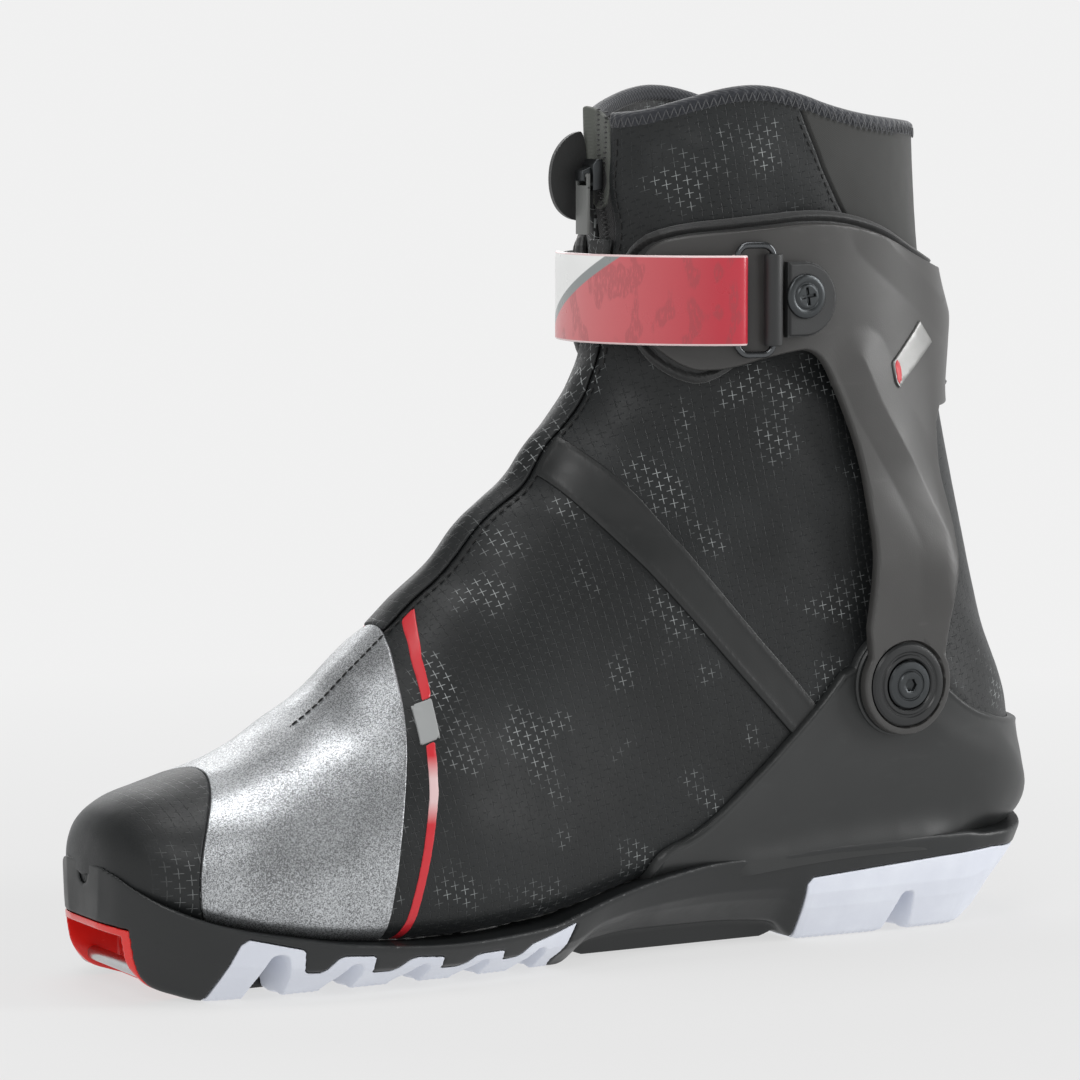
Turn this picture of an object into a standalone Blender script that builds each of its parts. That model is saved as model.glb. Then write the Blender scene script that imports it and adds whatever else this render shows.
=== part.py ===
"""Cross-country skating boot for a left foot, as separate pieces built around one last.

Lengths are in millimetres and angles in degrees; add_mesh turns millimetres into metres.
+Z is up, the toe points to -X and the outer (lateral) side of the foot is -Y.
The last is a closed surface: t runs from the toe tip to the collar, and s runs round each
section, from 0 at the top or front centre line to +1 or -1 at the bottom or back centre line.
"""
import bmesh
import bpy
import math
import numpy as np
from mathutils import Matrix, Vector

MM = 0.001
GAP = 0.3              # clearance between pieces that touch
CENTRE_X = 1.41        # moves the model so that its box is centred on the origin

# The last: front x, z | back x, z | half width | widest place | front and back roundness
LAST = np.array([
    (-151.8, 36, -151.8, 31, 1.5, .5, 1, 1), (-150.6, 43, -150.6, 27.5, 12, .55, .9, .7),
    (-147, 48.5, -147, 26, 20.5, .55, .95, .65), (-140, 53, -140, 23, 28.5, .6, 1, .6),
    (-128, 56.3, -128, 19.5, 35.5, .65, 1, .55), (-110, 61.5, -110, 15.5, 41.5, .7, 1, .5),
    (-86, 74.5, -88, 12.5, 45.5, .74, 1.05, .5), (-60, 98, -60, 11.5, 46, .78, 1.15, .5),
    (-38, 118, -28, 13.5, 43, .8, 1.25, .5), (-18, 138, 8, 20.5, 39, .8, 1.2, .5),
    (-4, 153, 45, 25.5, 37.5, .75, 1.1, .5), (3, 162, 85, 27.5, 37, .68, 1, .5),
    (6.5, 170, 131, 27.2, 37, .62, .95, .55), (8, 178, 147, 36, 36.5, .6, .9, .75),
    (9, 187, 146.5, 58, 35.5, .55, .9, .9), (10.5, 197, 138, 85, 34.5, .5, .9, .95),
    (10.5, 208, 130.5, 115, 33.5, .5, .9, .95), (10.5, 219, 123, 148, 32.5, .5, .9, .95),
    (10.5, 229, 117, 178, 32, .5, .9, .95), (10.5, 238, 113.5, 208, 31.5, .5, .9, .95),
    (10.5, 247, 112, 236, 31, .5, .9, .95), (10.5, 256, 111.5, 256, 31, .5, .9, .95)], float)
LAST_TOP = len(LAST) - 1.0

# Every layer is cut from the same grid, so that the facets of touching layers are parallel
RING = 20                                              # columns right round a section
FOOT_ROWS = np.array([0, .6, 1.3, 2.1] + list(range(3, 17)), float)
CUFF_ROWS = np.array([13, 13.5, 14, 14.5, 15, 15.5, 16, 17, 18, 19, 20, 21], float)

# Heights at which the upper is cut, as (x, z) lines in side view
FOOT_TOP = ((-40, 190), (-6, 154), (20, 126), (60, 101), (100, 85), (146, 64), (170, 52))
SHAFT_BOTTOM = ((-20, 196), (9, 188), (120, 158), (150, 150))
COLLAR_RIM = ((-20, 238), (11, 239), (25, 244), (40, 248), (54, 247), (75, 240), (106, 237),
              (130, 236))
RIM_BAND = 5.0         # height of the collar binding

# Depths of the layers, measured outwards from the softshell's outer face
SOFTSHELL = (-3.0, 0.0)
FACING = (GAP, 1.1)            # toe cap and vamp panel
BAND = (GAP, 1.3)
HEEL_SHELL = (GAP, 2.9)
PADDING = (1.0, 3.6)
CUFF = (3.9, 6.9)
BINDING = (-3.6, 0.7)
BOARD = (-4.8, -3.3)
INSOLE = (-9.0, -5.1)
TONGUE = (-11.6, -8.6)
LACE_DEPTH = -6.0
LACE_R = 1.3

# Cuff pivot
PIVOT_X, PIVOT_Z = 88.0, 75.0
BOSS_R, BOSS_Y = 15.5, 41.0
ARM_R = 14.8
ARM_Y = (41.3, 44.5)
ARM_HOLE_R, COVER_SEAT_R, COVER_SEAT_Y = 8.3, 12.5, 42.9
COVER_R, COVER_HOLE_R, COVER_Y = 12.2, 7.3, (43.2, 45.2)
BUSH_R, BUSH_HOLE_R, BUSH_Y = 8.0, 4.4, (41.3, 42.9)
SCREW_HEAD_R, SCREW_HEAD_Y, SCREW_SHANK_R, SCREW_END_Y = 7.0, (43.2, 46.2), 4.0, 31.6
HEX_R, HEX_DEPTH = 1.9, 1.8
NUT_FLANGE_R, NUT_FLANGE_Y, NUT_BARREL_R, NUT_BARREL_Y = 8.5, (29.6, 31.2), 5.2, 37.6

# Power strap round the front of the shaft
STRAP_X, STRAP_Z = 53.0, 188.0
STRAP_CENTRE_X, STRAP_AX, STRAP_BY = 50.0, 45.8, 41.5
STRAP_Z0, STRAP_Z1 = 174.3, 199.8
RING_FRONT, RING_REAR = 17.0, 6.5          # places along the strap's path
RING_WIRE_R, RING_Z0, RING_Z1 = 1.2, 171.6, 202.6
WIRE_OUT, TUBE_R = .2, 2.7                 # rear wire's distance out from the path, its tube
STRAP_TIP = 86.0                           # where the free end of the flap lies on the path

# Zip down the front
ZIP_SLOT = 4.5
ZIP_TAPE = 4.1
ZIP_FOOT_T = 5.75
FLAP_HALF = 7.0
SLIDER_Z = 222.0
ZIP_X = 10.5                               # front of the shaft where the slider runs
PIN_OUT = 5.6                              # how far in front of it the pull tab's pin lies

# Sole: x | bottom z at the edge | rim z | rim half width | bottom half width
SOLE = np.array([
    (-152.4, 20, 37, 11, 9), (-150.5, 14, 35, 18, 15), (-147, 9, 31.5, 24, 20),
    (-142, 4, 28, 30, 24), (-137, 2, 25.5, 34, 27), (-128, 0, 22, 38.5, 31),
    (-112, 0, 18.5, 43.5, 33), (-90, 0, 15, 47.5, 33), (-60, 0, 13, 48, 33),
    (-30, 0, 14.5, 45, 31), (-20, 0, 17, 43.3, 29.5), (-8, 6, 20.5, 41.6, 28),
    (10, 7.5, 24.5, 40, 27), (30, 7.5, 27, 38.5, 27), (52, 6, 27.5, 37.8, 27.5),
    (62, 0, 28.3, 37.8, 28), (90, 0, 29, 38, 29), (113, 0, 29, 37.5, 28), (122, 3.5, 28, 36, 26),
    (130, 10, 28, 34, 23), (140, 18, 28.5, 26, 16), (146, 21, 29.5, 16, 9), (149, 24, 30.5, 6, 4)],
    float)
ARCH_RIB_Z, ARCH_RIB_HALF, ARCH = 1.0, 22.0, (-10.0, 54.0)
TREAD_INNER_Y = 18.0
GUIDE_Y = (9.0, 15.0)
GUIDE_Z = 4.0
LUG_TOP = ((-130, -5), (-130, 0), (-122.5, 17), (-121, 18), (-106, 14.5), (-105, 8), (-100, 7.3),
           (-95.5, 12), (-85.5, 11.3), (-85, 6), (-79, 6), (-73.5, 10), (-64.5, 9.3),
           (-64, 5.5), (-58, 5.5), (-53, 9), (-45, 9.2), (-44.5, 6), (-39, 6.5), (-35.5, 10),
           (-21, 14.5), (-24, 3), (-22, -5))
LUG_GAPS = ((-120, -107, 13.4), (-97, -86, 9.4), (-76, -65, 7.6), (-56, -46, 7.0),
            (-37, -28, 8.4))
HEEL_TREAD_TOP = ((59.7, 19.3), (100, 22), (125, 23.3), (160, 21))
TOE_BAR_X, TOE_BAR_Z, TOE_BAR_R = -141.0, 7.0, 2.0
TOE_CAVITY_Y, TOE_CAVITY_BACK = 21.0, -131.0
TOE_CAVITY_TOP = (21.0, 16.0)
INSERT_WALL = 2.2

ORIGINS = {
    "foot": (0, 0, 0),
    "cuff": (PIVOT_X, 0, PIVOT_Z),
    "strap": (STRAP_X, 0, STRAP_Z),
    "zip_slider": (ZIP_X, 0, SLIDER_Z),
    "zip_puller": (ZIP_X - PIN_OUT, 0, SLIDER_Z - .2),
}
COLOURS = {
    "softshell": ((0.012, 0.013, 0.014), 0.55, 0.0),
    "softshell_cap": ((0.02, 0.021, 0.021), 0.5, 0.0),
    "silver_vamp": ((0.42, 0.43, 0.44), 0.35, 0.7),
    "taped_band": ((0.008, 0.009, 0.01), 0.4, 0.0),
    "heel_plastic": ((0.022, 0.023, 0.023), 0.4, 0.0),
    "cuff_plastic": ((0.035, 0.036, 0.037), 0.38, 0.0),
    "padding_foam": ((0.012, 0.012, 0.012), 0.8, 0.0),
    "sole_rubber": ((0.012, 0.013, 0.014), 0.5, 0.0),
    "tread_rubber": ((0.75, 0.78, 0.86), 0.5, 0.0),
    "red_plastic": ((0.7, 0.03, 0.02), 0.35, 0.0),
    "steel": ((0.55, 0.56, 0.57), 0.25, 1.0),
    "dark_metal": ((0.06, 0.06, 0.065), 0.35, 1.0),
    "red_strap": ((0.55, 0.06, 0.08), 0.4, 0.0),
    "webbing": ((0.015, 0.015, 0.016), 0.8, 0.0),
    "neoprene": ((0.03, 0.03, 0.033), 0.85, 0.0),
    "binding_tape": ((0.01, 0.012, 0.02), 0.7, 0.0),
    "zip_tape": ((0.01, 0.01, 0.011), 0.7, 0.0),
    "black_plastic": ((0.014, 0.014, 0.015), 0.4, 0.0),
    "insole_felt": ((0.12, 0.12, 0.13), 0.9, 0.0),
    "board": ((0.2, 0.17, 0.12), 0.7, 0.0),
    "badge_metal": ((0.5, 0.5, 0.51), 0.35, 0.6),
}


# ---------------------------------------------------------------- the last

def knot_slopes(rows):
    """Slopes at unit-spaced knots that never overshoot the stations."""
    step = np.diff(rows, axis=0)
    product = step[:-1] * step[1:]
    slopes = np.zeros_like(rows)
    same = product > 0
    slopes[1:-1] = np.where(same, 2 * product / np.where(same, step[:-1] + step[1:], 1), 0)
    slopes[0], slopes[-1] = step[0], step[-1]
    return slopes


LAST_SLOPES = knot_slopes(LAST)
THETA = np.linspace(0, np.pi, 97)


def last_stations(t):
    """The eight section values at each t, by cubic interpolation."""
    t = np.clip(t, 0, LAST_TOP)
    i = np.minimum(t.astype(int), len(LAST) - 2)
    f = (t - i)[:, None]
    here, there = LAST[i], LAST[i + 1]
    return ((1 + 2 * f) * (1 - f) ** 2 * here + f * (1 - f) ** 2 * LAST_SLOPES[i]
            + f * f * (3 - 2 * f) * there + f * f * (f - 1) * LAST_SLOPES[i + 1])


def last_point(t, s):
    """Points of the softshell's outer face; s is measured by arc length."""
    t, s = np.broadcast_arrays(np.asarray(t, float), np.asarray(s, float))
    shape, t, s = t.shape, t.ravel(), (s.ravel() + 1) % 2 - 1
    fx, fz, bx, bz, wide, widest, front, back = (c[:, None] for c in last_stations(t).T)
    cosine, sine = np.abs(np.cos(THETA)), np.clip(np.sin(THETA), 0, 1)
    ahead = THETA < np.pi / 2
    across = wide * sine ** np.where(ahead, front, back)
    along = np.where(ahead, widest * (1 - cosine ** front),
                     widest + (1 - widest) * cosine ** back)
    chord = np.hypot(bx - fx, bz - fz)
    run = np.hypot(np.diff(along * chord, axis=1), np.diff(across, axis=1)).cumsum(axis=1)
    run = np.concatenate([np.zeros((len(t), 1)), run], axis=1) / run[:, -1:]
    target = np.abs(s)[:, None]
    i = np.clip((run < target).sum(axis=1) - 1, 0, len(THETA) - 2)
    row = np.arange(len(t))
    f = (target[:, 0] - run[row, i]) / (run[row, i + 1] - run[row, i])
    u = along[row, i] * (1 - f) + along[row, i + 1] * f
    y = (across[row, i] * (1 - f) + across[row, i + 1] * f) * np.sign(s)
    x = fx[:, 0] + u * (bx - fx)[:, 0]
    z = fz[:, 0] + u * (bz - fz)[:, 0]
    return np.stack([x, y, z], axis=-1).reshape(shape + (3,))


def last_offset(t, s, depth):
    """Points at a depth outside the last, along its normals."""
    t, s = np.broadcast_arrays(np.asarray(t, float), np.asarray(s, float))
    along = last_point(t + .03, s) - last_point(t - .03, s)
    around = last_point(t, s + .004) - last_point(t, s - .004)
    normal = np.cross(along, around)
    normal /= np.linalg.norm(normal, axis=-1, keepdims=True)
    return last_point(t, s) + normal * depth


def front_t(line):
    """The t at which the front centre line crosses a side-view line."""
    xs, zs = np.array(line, float).T
    low, high = 0.5, LAST_TOP
    for _ in range(28):
        middle = (low + high) / 2
        x, _, z = last_point([middle], [0])[0]
        low, high = (low, middle) if z > np.interp(x, xs, zs) else (middle, high)
    return (low + high) / 2


def ring_s():
    """The grid's columns, right round a section."""
    return np.linspace(-1, 1, RING, endpoint=False)


def column_s(first, last):
    """The grid's columns from one to another; column 0 is s = 0 and column RING / 2 is s = 1."""
    return np.arange(first, last + 1) * 2 / RING


# ---------------------------------------------------------------- meshes

def add_mesh(name, points, faces):
    """A new object from points in millimetres, with its faces pointing out."""
    mesh = bpy.data.meshes.new(name)
    points = np.asarray(points, float) + (CENTRE_X, 0, 0)
    mesh.from_pydata([Vector(p) * MM for p in points], [], faces)
    shell = bmesh.new()
    shell.from_mesh(mesh)
    bmesh.ops.recalc_face_normals(shell, faces=shell.faces)
    shell.to_mesh(mesh)
    shell.free()
    obj = bpy.data.objects.new(name, mesh)
    bpy.context.scene.collection.objects.link(obj)
    return obj


def grid_solid(name, outer, inner, wrap=False, tips=None):
    """Solid between two grids of points. wrap closes the columns into a ring; tips gives the
    points that close the first row of each grid, as at the toe."""
    cols = outer.shape[1]
    start = (0, outer.shape[0] * cols)
    last = (outer.shape[0] - 1, inner.shape[0] - 1)
    points = list(outer.reshape(-1, 3)) + list(inner.reshape(-1, 3))
    span = cols if wrap else cols - 1
    faces = []

    def at(layer, i, j):
        return start[layer] + i * cols + j % cols

    for layer in (0, 1):
        for i in range(last[layer]):
            for j in range(span):
                a, b = at(layer, i, j), at(layer, i, j + 1)
                c, d = at(layer, i + 1, j + 1), at(layer, i + 1, j)
                faces += [(a, b, c), (a, c, d)]
    ends = [last] if tips is not None else [(0, 0), last]
    for i, k in ends:
        for j in range(span):
            faces.append((at(0, i, j), at(0, i, j + 1), at(1, k, j + 1), at(1, k, j)))
    if not wrap:
        for j in (0, cols - 1):
            for i in range(last[0]):
                faces.append((at(0, i, j), at(0, i + 1, j), at(1, i + 1, j), at(1, i, j)))
    if tips is not None:
        for layer, tip in enumerate(tips):
            points.append(tip)
            for j in range(span):
                faces.append((len(points) - 1, at(layer, 0, j), at(layer, 0, j + 1)))
    return add_mesh(name, points, faces)


def layer_solid(name, t, s, depth, wrap=False):
    """Solid between two depths over rows of t and columns of s."""
    t, s = np.asarray(t, float)[:, None], np.asarray(s, float)[None, :]
    return grid_solid(name, last_offset(t, s, depth[1]), last_offset(t, s, depth[0]), wrap)


def toe_solid(name, rows, depth, inner_from=0):
    """Layer that closes round the toe, out to rows[-1]; its inside starts at a later row."""
    s = ring_s()[None, :]
    outer = last_offset(rows[:, None], s, depth[1])
    inner = last_offset(rows[inner_from:, None], s, depth[0])
    return grid_solid(name, outer, inner, wrap=True,
                      tips=(outer[0].mean(axis=0), inner[0].mean(axis=0)))


def prism(name, outline, y0, y1):
    """Side-view outline in (x, z), extruded from y0 to y1."""
    n = len(outline)
    points = [(x, y, z) for y in (y0, y1) for x, z in outline]
    sides = [(i, (i + 1) % n, n + (i + 1) % n, n + i) for i in range(n)]
    return add_mesh(name, points, sides + [tuple(range(n)), tuple(range(n, 2 * n))])


def plan_prism(name, outline, z0, z1):
    """Plan outline in (x, y), extruded from z0 to z1."""
    n = len(outline)
    points = [(x, y, z) for z in (z0, z1) for x, y in outline]
    sides = [(i, (i + 1) % n, n + (i + 1) % n, n + i) for i in range(n)]
    return add_mesh(name, points, sides + [tuple(range(n)), tuple(range(n, 2 * n))])


def disc(name, x, z, radius, y0, y1, sides=16, hole=0.0):
    """Disc or washer with its axis along Y."""
    turns = [2 * math.pi * i / sides for i in range(sides)]

    def circle(r, y):
        return [(x + r * math.cos(a), y, z + r * math.sin(a)) for a in turns]

    if not hole:
        return prism(name, [(x + radius * math.cos(a), z + radius * math.sin(a)) for a in turns],
                     y0, y1)
    points = circle(radius, y0) + circle(radius, y1) + circle(hole, y1) + circle(hole, y0)
    faces = [(k * sides + i, k * sides + (i + 1) % sides,
              (k + 1) % 4 * sides + (i + 1) % sides, (k + 1) % 4 * sides + i)
             for k in range(4) for i in range(sides)]
    return add_mesh(name, points, faces)


def sweep(name, path, radius, sides=8, ring=False):
    """Round wire or cord along a path of points."""
    path = np.asarray(path, float)
    n = len(path)
    after = np.roll(path, -1, axis=0) if ring else np.vstack([path[1:], path[-1]])
    before = np.roll(path, 1, axis=0) if ring else np.vstack([path[0], path[:-1]])
    tangent = after - before
    tangent /= np.linalg.norm(tangent, axis=1, keepdims=True)
    side = np.cross(tangent, (0.12, 1, 0.07))
    points = []
    for k in range(n):
        u = side[k] / np.linalg.norm(side[k])
        v = np.cross(tangent[k], u)
        for a in np.linspace(0, 2 * np.pi, sides, endpoint=False):
            points.append(path[k] + radius * (np.cos(a) * u + np.sin(a) * v))
    spans = n if ring else n - 1
    faces = [(k * sides + i, k * sides + (i + 1) % sides, (k + 1) % n * sides + (i + 1) % sides,
              (k + 1) % n * sides + i) for k in range(spans) for i in range(sides)]
    if not ring:
        faces += [tuple(range(sides)), tuple(range((n - 1) * sides, n * sides))]
    return add_mesh(name, points, faces)


def combine(obj, tool, operation="DIFFERENCE"):
    """Cut, join or intersect obj with tool, which is used up."""
    modifier = obj.modifiers.new(operation.lower(), "BOOLEAN")
    modifier.operation = operation
    modifier.object = tool
    graph = bpy.context.evaluated_depsgraph_get()
    result = bpy.data.meshes.new_from_object(obj.evaluated_get(graph))
    obj.modifiers.clear()
    obj.data = result
    bpy.data.objects.remove(tool)
    return obj


def finish(obj, body, look, smooth=40):
    """Give a piece its material and hang it on its body's empty."""
    colour, roughness, metallic = COLOURS[look]
    material = bpy.data.materials.get(look) or bpy.data.materials.new(look)
    material.use_nodes = True
    shader = material.node_tree.nodes["Principled BSDF"]
    shader.inputs["Base Color"].default_value = (*colour, 1)
    shader.inputs["Roughness"].default_value = roughness
    shader.inputs["Metallic"].default_value = metallic
    obj.data.materials.clear()
    obj.data.materials.append(material)
    obj.data.shade_smooth()
    obj.data.set_sharp_from_angle(angle=math.radians(smooth))
    empty = bpy.data.objects[body + "_axis"]
    obj.data.transform(Matrix.Translation(-empty.matrix_world.translation))
    obj.parent = empty
    return obj


def circle_points(x, z, radius, first, last, count):
    """Points of an arc in side view, angles in degrees from +X towards +Z."""
    return [(x + radius * math.cos(math.radians(a)), z + radius * math.sin(math.radians(a)))
            for a in np.linspace(first, last, count)]


def lifted(line, lift):
    """A side-view line moved up."""
    return [(x, z + lift) for x, z in line]


def keep_between(obj, low, high):
    """Keep what lies between two side-view lines."""
    return combine(obj, prism("between", list(low) + list(high)[::-1], -60, 60), "INTERSECT")


def level(z):
    """A level side-view line, past both ends of the boot."""
    return [(-180, z), (180, z)]


def rim_line(lift=0.0):
    """The sole's rim as a side-view line."""
    return lifted([(-170, SOLE[0, 2]), *zip(SOLE[:, 0], SOLE[:, 2]), (170, SOLE[-1, 2])], lift)


def sides():
    """Name and direction of the two sides of the foot."""
    return (("lateral", -1), ("medial", 1))


def side_span(sign, near, far):
    """A pair of y values on one side, lowest first."""
    return sorted((sign * near, sign * far))


# ---------------------------------------------------------------- sole

def sole_envelope(name):
    """Outer shape of the whole sole, lofted from toe to heel."""
    rings = []
    for x, z0, z1, top, bottom in SOLE:
        rib_z = ARCH_RIB_Z if ARCH[0] <= x <= ARCH[1] else z0
        rib = min(ARCH_RIB_HALF, bottom - 4)
        half = [(top, z1), (top * .75 + bottom * .25, z1 - (z1 - z0) * .45),
                (bottom + .6, z0 + 1.8), (bottom - 1.5, z0), (rib + 1.2, z0), (rib, rib_z)]
        rings.append([(x, y, z) for y, z in half] + [(x, -y, z) for y, z in reversed(half)])
    n = len(rings[0])
    points = [p for ring in rings for p in ring]
    faces = [(k * n + i, k * n + (i + 1) % n, (k + 1) * n + (i + 1) % n, (k + 1) * n + i)
             for k in range(len(rings) - 1) for i in range(n)]
    faces += [tuple(range(n)), tuple(range(len(points) - n, len(points)))]
    return add_mesh(name, points, faces)


def foot_plug(depth):
    """Closed solid of the last up to the ankle, used to hollow out what it sits in."""
    grid = last_offset(FOOT_ROWS[:, None], ring_s()[None, :], depth)
    rows, cols = grid.shape[:2]
    faces = [tuple(range(cols)), tuple(range((rows - 1) * cols, rows * cols))]
    for i in range(rows - 1):
        for j in range(cols):
            a, b = i * cols + j, i * cols + (j + 1) % cols
            faces += [(a, b, b + cols), (a, b + cols, a + cols)]
    return add_mesh("plug", grid.reshape(-1, 3), faces)


def toe_cavity_outline(shrink):
    """Side view of the opening that takes the binding's jaw."""
    high, low = (z - shrink for z in TOE_CAVITY_TOP)
    back = TOE_CAVITY_BACK - shrink
    return [(-160, -6), (-160, high), (-152, high), (back, low), (back, -6)]


def make_outsole():
    """Black sole: rim, arch rib, binding guides and the seats of the treads."""
    sole = sole_envelope("outsole")
    combine(sole, foot_plug(GAP + .05))
    seat = [(-130.5, -6), (-130.5, 0)] + lifted(LUG_TOP[2:-3], GAP)
    seat += [(-20.3, 15), (-23.4, 3), (-21.5, -6)]
    for _, sign in sides():
        combine(sole, prism("seat", seat, *side_span(sign, TREAD_INNER_Y - GAP, 60)))
    heel = [(59.7 - GAP, -6)] + [(x - GAP * (x < 60), z + GAP) for x, z in HEEL_TREAD_TOP]
    combine(sole, prism("seat", heel + [(160, -6)], -60, 60))
    combine(sole, prism("jaw", toe_cavity_outline(0), -TOE_CAVITY_Y, TOE_CAVITY_Y))
    for _, sign in sides():
        guide = [(-118, -6), (-118, GUIDE_Z), (57, GUIDE_Z), (57, -6)]
        combine(sole, prism("guide", guide, *side_span(sign, *GUIDE_Y)))
    combine(sole, disc("bore", TOE_BAR_X, TOE_BAR_Z, TOE_BAR_R + GAP, -22.6, 22.6, 16))
    finish(sole, "foot", "sole_rubber")


def make_treads():
    """White lugged treads: one along each side of the forefoot and one under the heel."""
    for side, sign in sides():
        tread = sole_envelope("tread_forefoot_" + side)
        combine(tread, prism("band", LUG_TOP, *side_span(sign, TREAD_INNER_Y, 60)), "INTERSECT")
        for x0, x1, z in LUG_GAPS:
            w = x1 - x0
            arch = [(x0, -6), (x0, 0), (x0 + .42 * w, z - .6), (x0 + .5 * w, z),
                    (x1 - .3 * w, z), (x1 - .2 * w, z - 1), (x1, 0), (x1, -6)]
            combine(tread, prism("gap", arch, -60, 60))
        finish(tread, "foot", "tread_rubber")
    heel = sole_envelope("tread_heel")
    band = [(59.7, -6)] + list(HEEL_TREAD_TOP) + [(160, -6)]
    combine(heel, prism("band", band, -60, 60), "INTERSECT")
    combine(heel, prism("notch", [(88, -6), (89, 0), (93, 12), (97, 12.6), (99, 0), (100, -6)],
                        -60, 60))
    finish(heel, "foot", "tread_rubber")


def make_toe_binding():
    """Red lining of the toe opening and the steel bar that clips into the binding."""
    insert = sole_envelope("toe_insert")
    wall = TOE_CAVITY_Y - GAP
    combine(insert, prism("outer", toe_cavity_outline(GAP), -wall, wall), "INTERSECT")
    inner = toe_cavity_outline(INSERT_WALL)
    combine(insert, prism("inner", inner, INSERT_WALL - wall, wall - INSERT_WALL))
    combine(insert, disc("bore", TOE_BAR_X, TOE_BAR_Z, TOE_BAR_R + GAP, -30, 30, 16))
    finish(insert, "foot", "red_plastic")
    bar = disc("toe_bar", TOE_BAR_X, TOE_BAR_Z, TOE_BAR_R, -22.3, 22.3, 16)
    finish(bar, "foot", "steel")


def make_footbed():
    """Stiff lasting board and the insole on it."""
    rows = FOOT_ROWS[(FOOT_ROWS > 2) & (FOOT_ROWS < 12.5)]
    middle = RING // 2
    board = layer_solid("lasting_board", rows, column_s(middle - 2, middle + 2), BOARD)
    finish(board, "foot", "board")
    insole = layer_solid("insole", rows, column_s(middle - 2, middle + 2), INSOLE)
    finish(insole, "foot", "insole_felt")


# ---------------------------------------------------------------- upper

def front_strip(name, t, depth, half_width):
    """Strip that follows the front centre line of the last."""
    line = last_offset(t, np.zeros(len(t)), 0)
    ahead = last_offset(t, np.zeros(len(t)), 1) - line
    outer = [line + depth[1] * ahead + (0, y, 0) for y in (-half_width, half_width)]
    inner = [line + depth[0] * ahead + (0, y, 0) for y in (-half_width, half_width)]
    return grid_solid(name, np.stack(outer, axis=1), np.stack(inner, axis=1))


def cut_zip_slot(obj):
    """Open a panel along the front for the zip."""
    t = np.concatenate([np.arange(ZIP_FOOT_T, 13, .5), np.arange(13, 21.1, 1)])
    return combine(obj, front_strip("slot", t, (-8, 8), ZIP_SLOT))


def pivot_holes(obj, radius):
    """Round holes through both sides at the cuff's pivot."""
    for _, sign in sides():
        combine(obj, disc("hole", PIVOT_X, PIVOT_Z, radius, *side_span(sign, 20, 60), 16))
    return obj


def make_upper_foot():
    """Softshell foot part, closed at the toe, with the zip slot and the pivot holes."""
    foot = toe_solid("upper_foot", FOOT_ROWS, SOFTSHELL, inner_from=3)
    keep_between(foot, level(-10), FOOT_TOP)
    cut_zip_slot(foot)
    pivot_holes(foot, NUT_BARREL_R + GAP)
    finish(foot, "foot", "softshell")


def make_ankle():
    """Soft sleeve between foot and shaft, which folds when the cuff flexes."""
    sleeve = layer_solid("ankle_sleeve", np.arange(9, 19.0), ring_s(), SOFTSHELL, wrap=True)
    keep_between(sleeve, lifted(FOOT_TOP, GAP), lifted(SHAFT_BOTTOM, -GAP))
    finish(cut_zip_slot(sleeve), "foot", "softshell")


def make_shaft():
    """Two softshell side panels and the stretch panel up the back."""
    seam = [(50, 262), (66, 224), (78, 204), (92, 180), (110, 150)]
    behind = seam + [(170, 150), (170, 262)]
    ahead = [(x - GAP, z) for x, z in seam] + [(-40, 150), (-40, 262)]
    rows = np.arange(11, 21.5)
    rim = lifted(COLLAR_RIM, -RIM_BAND - GAP)
    back = layer_solid("collar_back", rows, ring_s(), SOFTSHELL, wrap=True)
    keep_between(back, SHAFT_BOTTOM, rim)
    finish(combine(back, prism("behind", behind, -60, 60), "INTERSECT"), "cuff", "neoprene")
    for side, sign in sides():
        panel = layer_solid("shaft_panel_" + side, rows, ring_s(), SOFTSHELL, wrap=True)
        keep_between(panel, SHAFT_BOTTOM, rim)
        keep = prism("ahead", ahead, *side_span(sign, ZIP_SLOT, 60))
        finish(combine(panel, keep, "INTERSECT"), "cuff", "softshell")


def make_collar_binding():
    """Elastic tape round the collar's edge, open at the zip."""
    tape = layer_solid("collar_binding", np.arange(17, 21.5), ring_s(), BINDING, wrap=True)
    keep_between(tape, lifted(COLLAR_RIM, -RIM_BAND), COLLAR_RIM)
    finish(cut_zip_slot(tape), "cuff", "binding_tape")


def make_facings():
    """Toe cap and silver vamp panel bonded over the softshell."""
    edge = [(-106 - 27 * (y / 34) ** 2, y) for y in np.linspace(-46, 46, 11)]
    rear = [(-61, 98), (-65, 88), (-68.5, 73), (-73, 56), (-78, 38), (-82, 12)]
    cap = toe_solid("toe_cap", FOOT_ROWS[:8], FACING)
    combine(cap, plan_prism("front", [(-170, -60)] + edge + [(-170, 60)], -10, 200), "INTERSECT")
    finish(keep_between(cap, rim_line(GAP), level(200)), "foot", "softshell_cap")
    vamp = layer_solid("vamp_panel", np.arange(3, 8.5), column_s(-8, 8), FACING)
    shifted = [(x + GAP, y) for x, y in edge]
    combine(vamp, plan_prism("behind", shifted + [(-20, 60), (-20, -60)], -10, 200), "INTERSECT")
    keep_between(vamp, rim_line(GAP), level(200))
    outline = rear + [(-82, 0), (-150, 0), (-150, 130), (-50, 130)]
    combine(vamp, prism("ahead", outline, -60, 60), "INTERSECT")
    relief = front_strip("relief", np.arange(5.7, 9, .5), (-3, 8), FLAP_HALF + GAP)
    finish(combine(vamp, relief), "foot", "silver_vamp")


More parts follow.
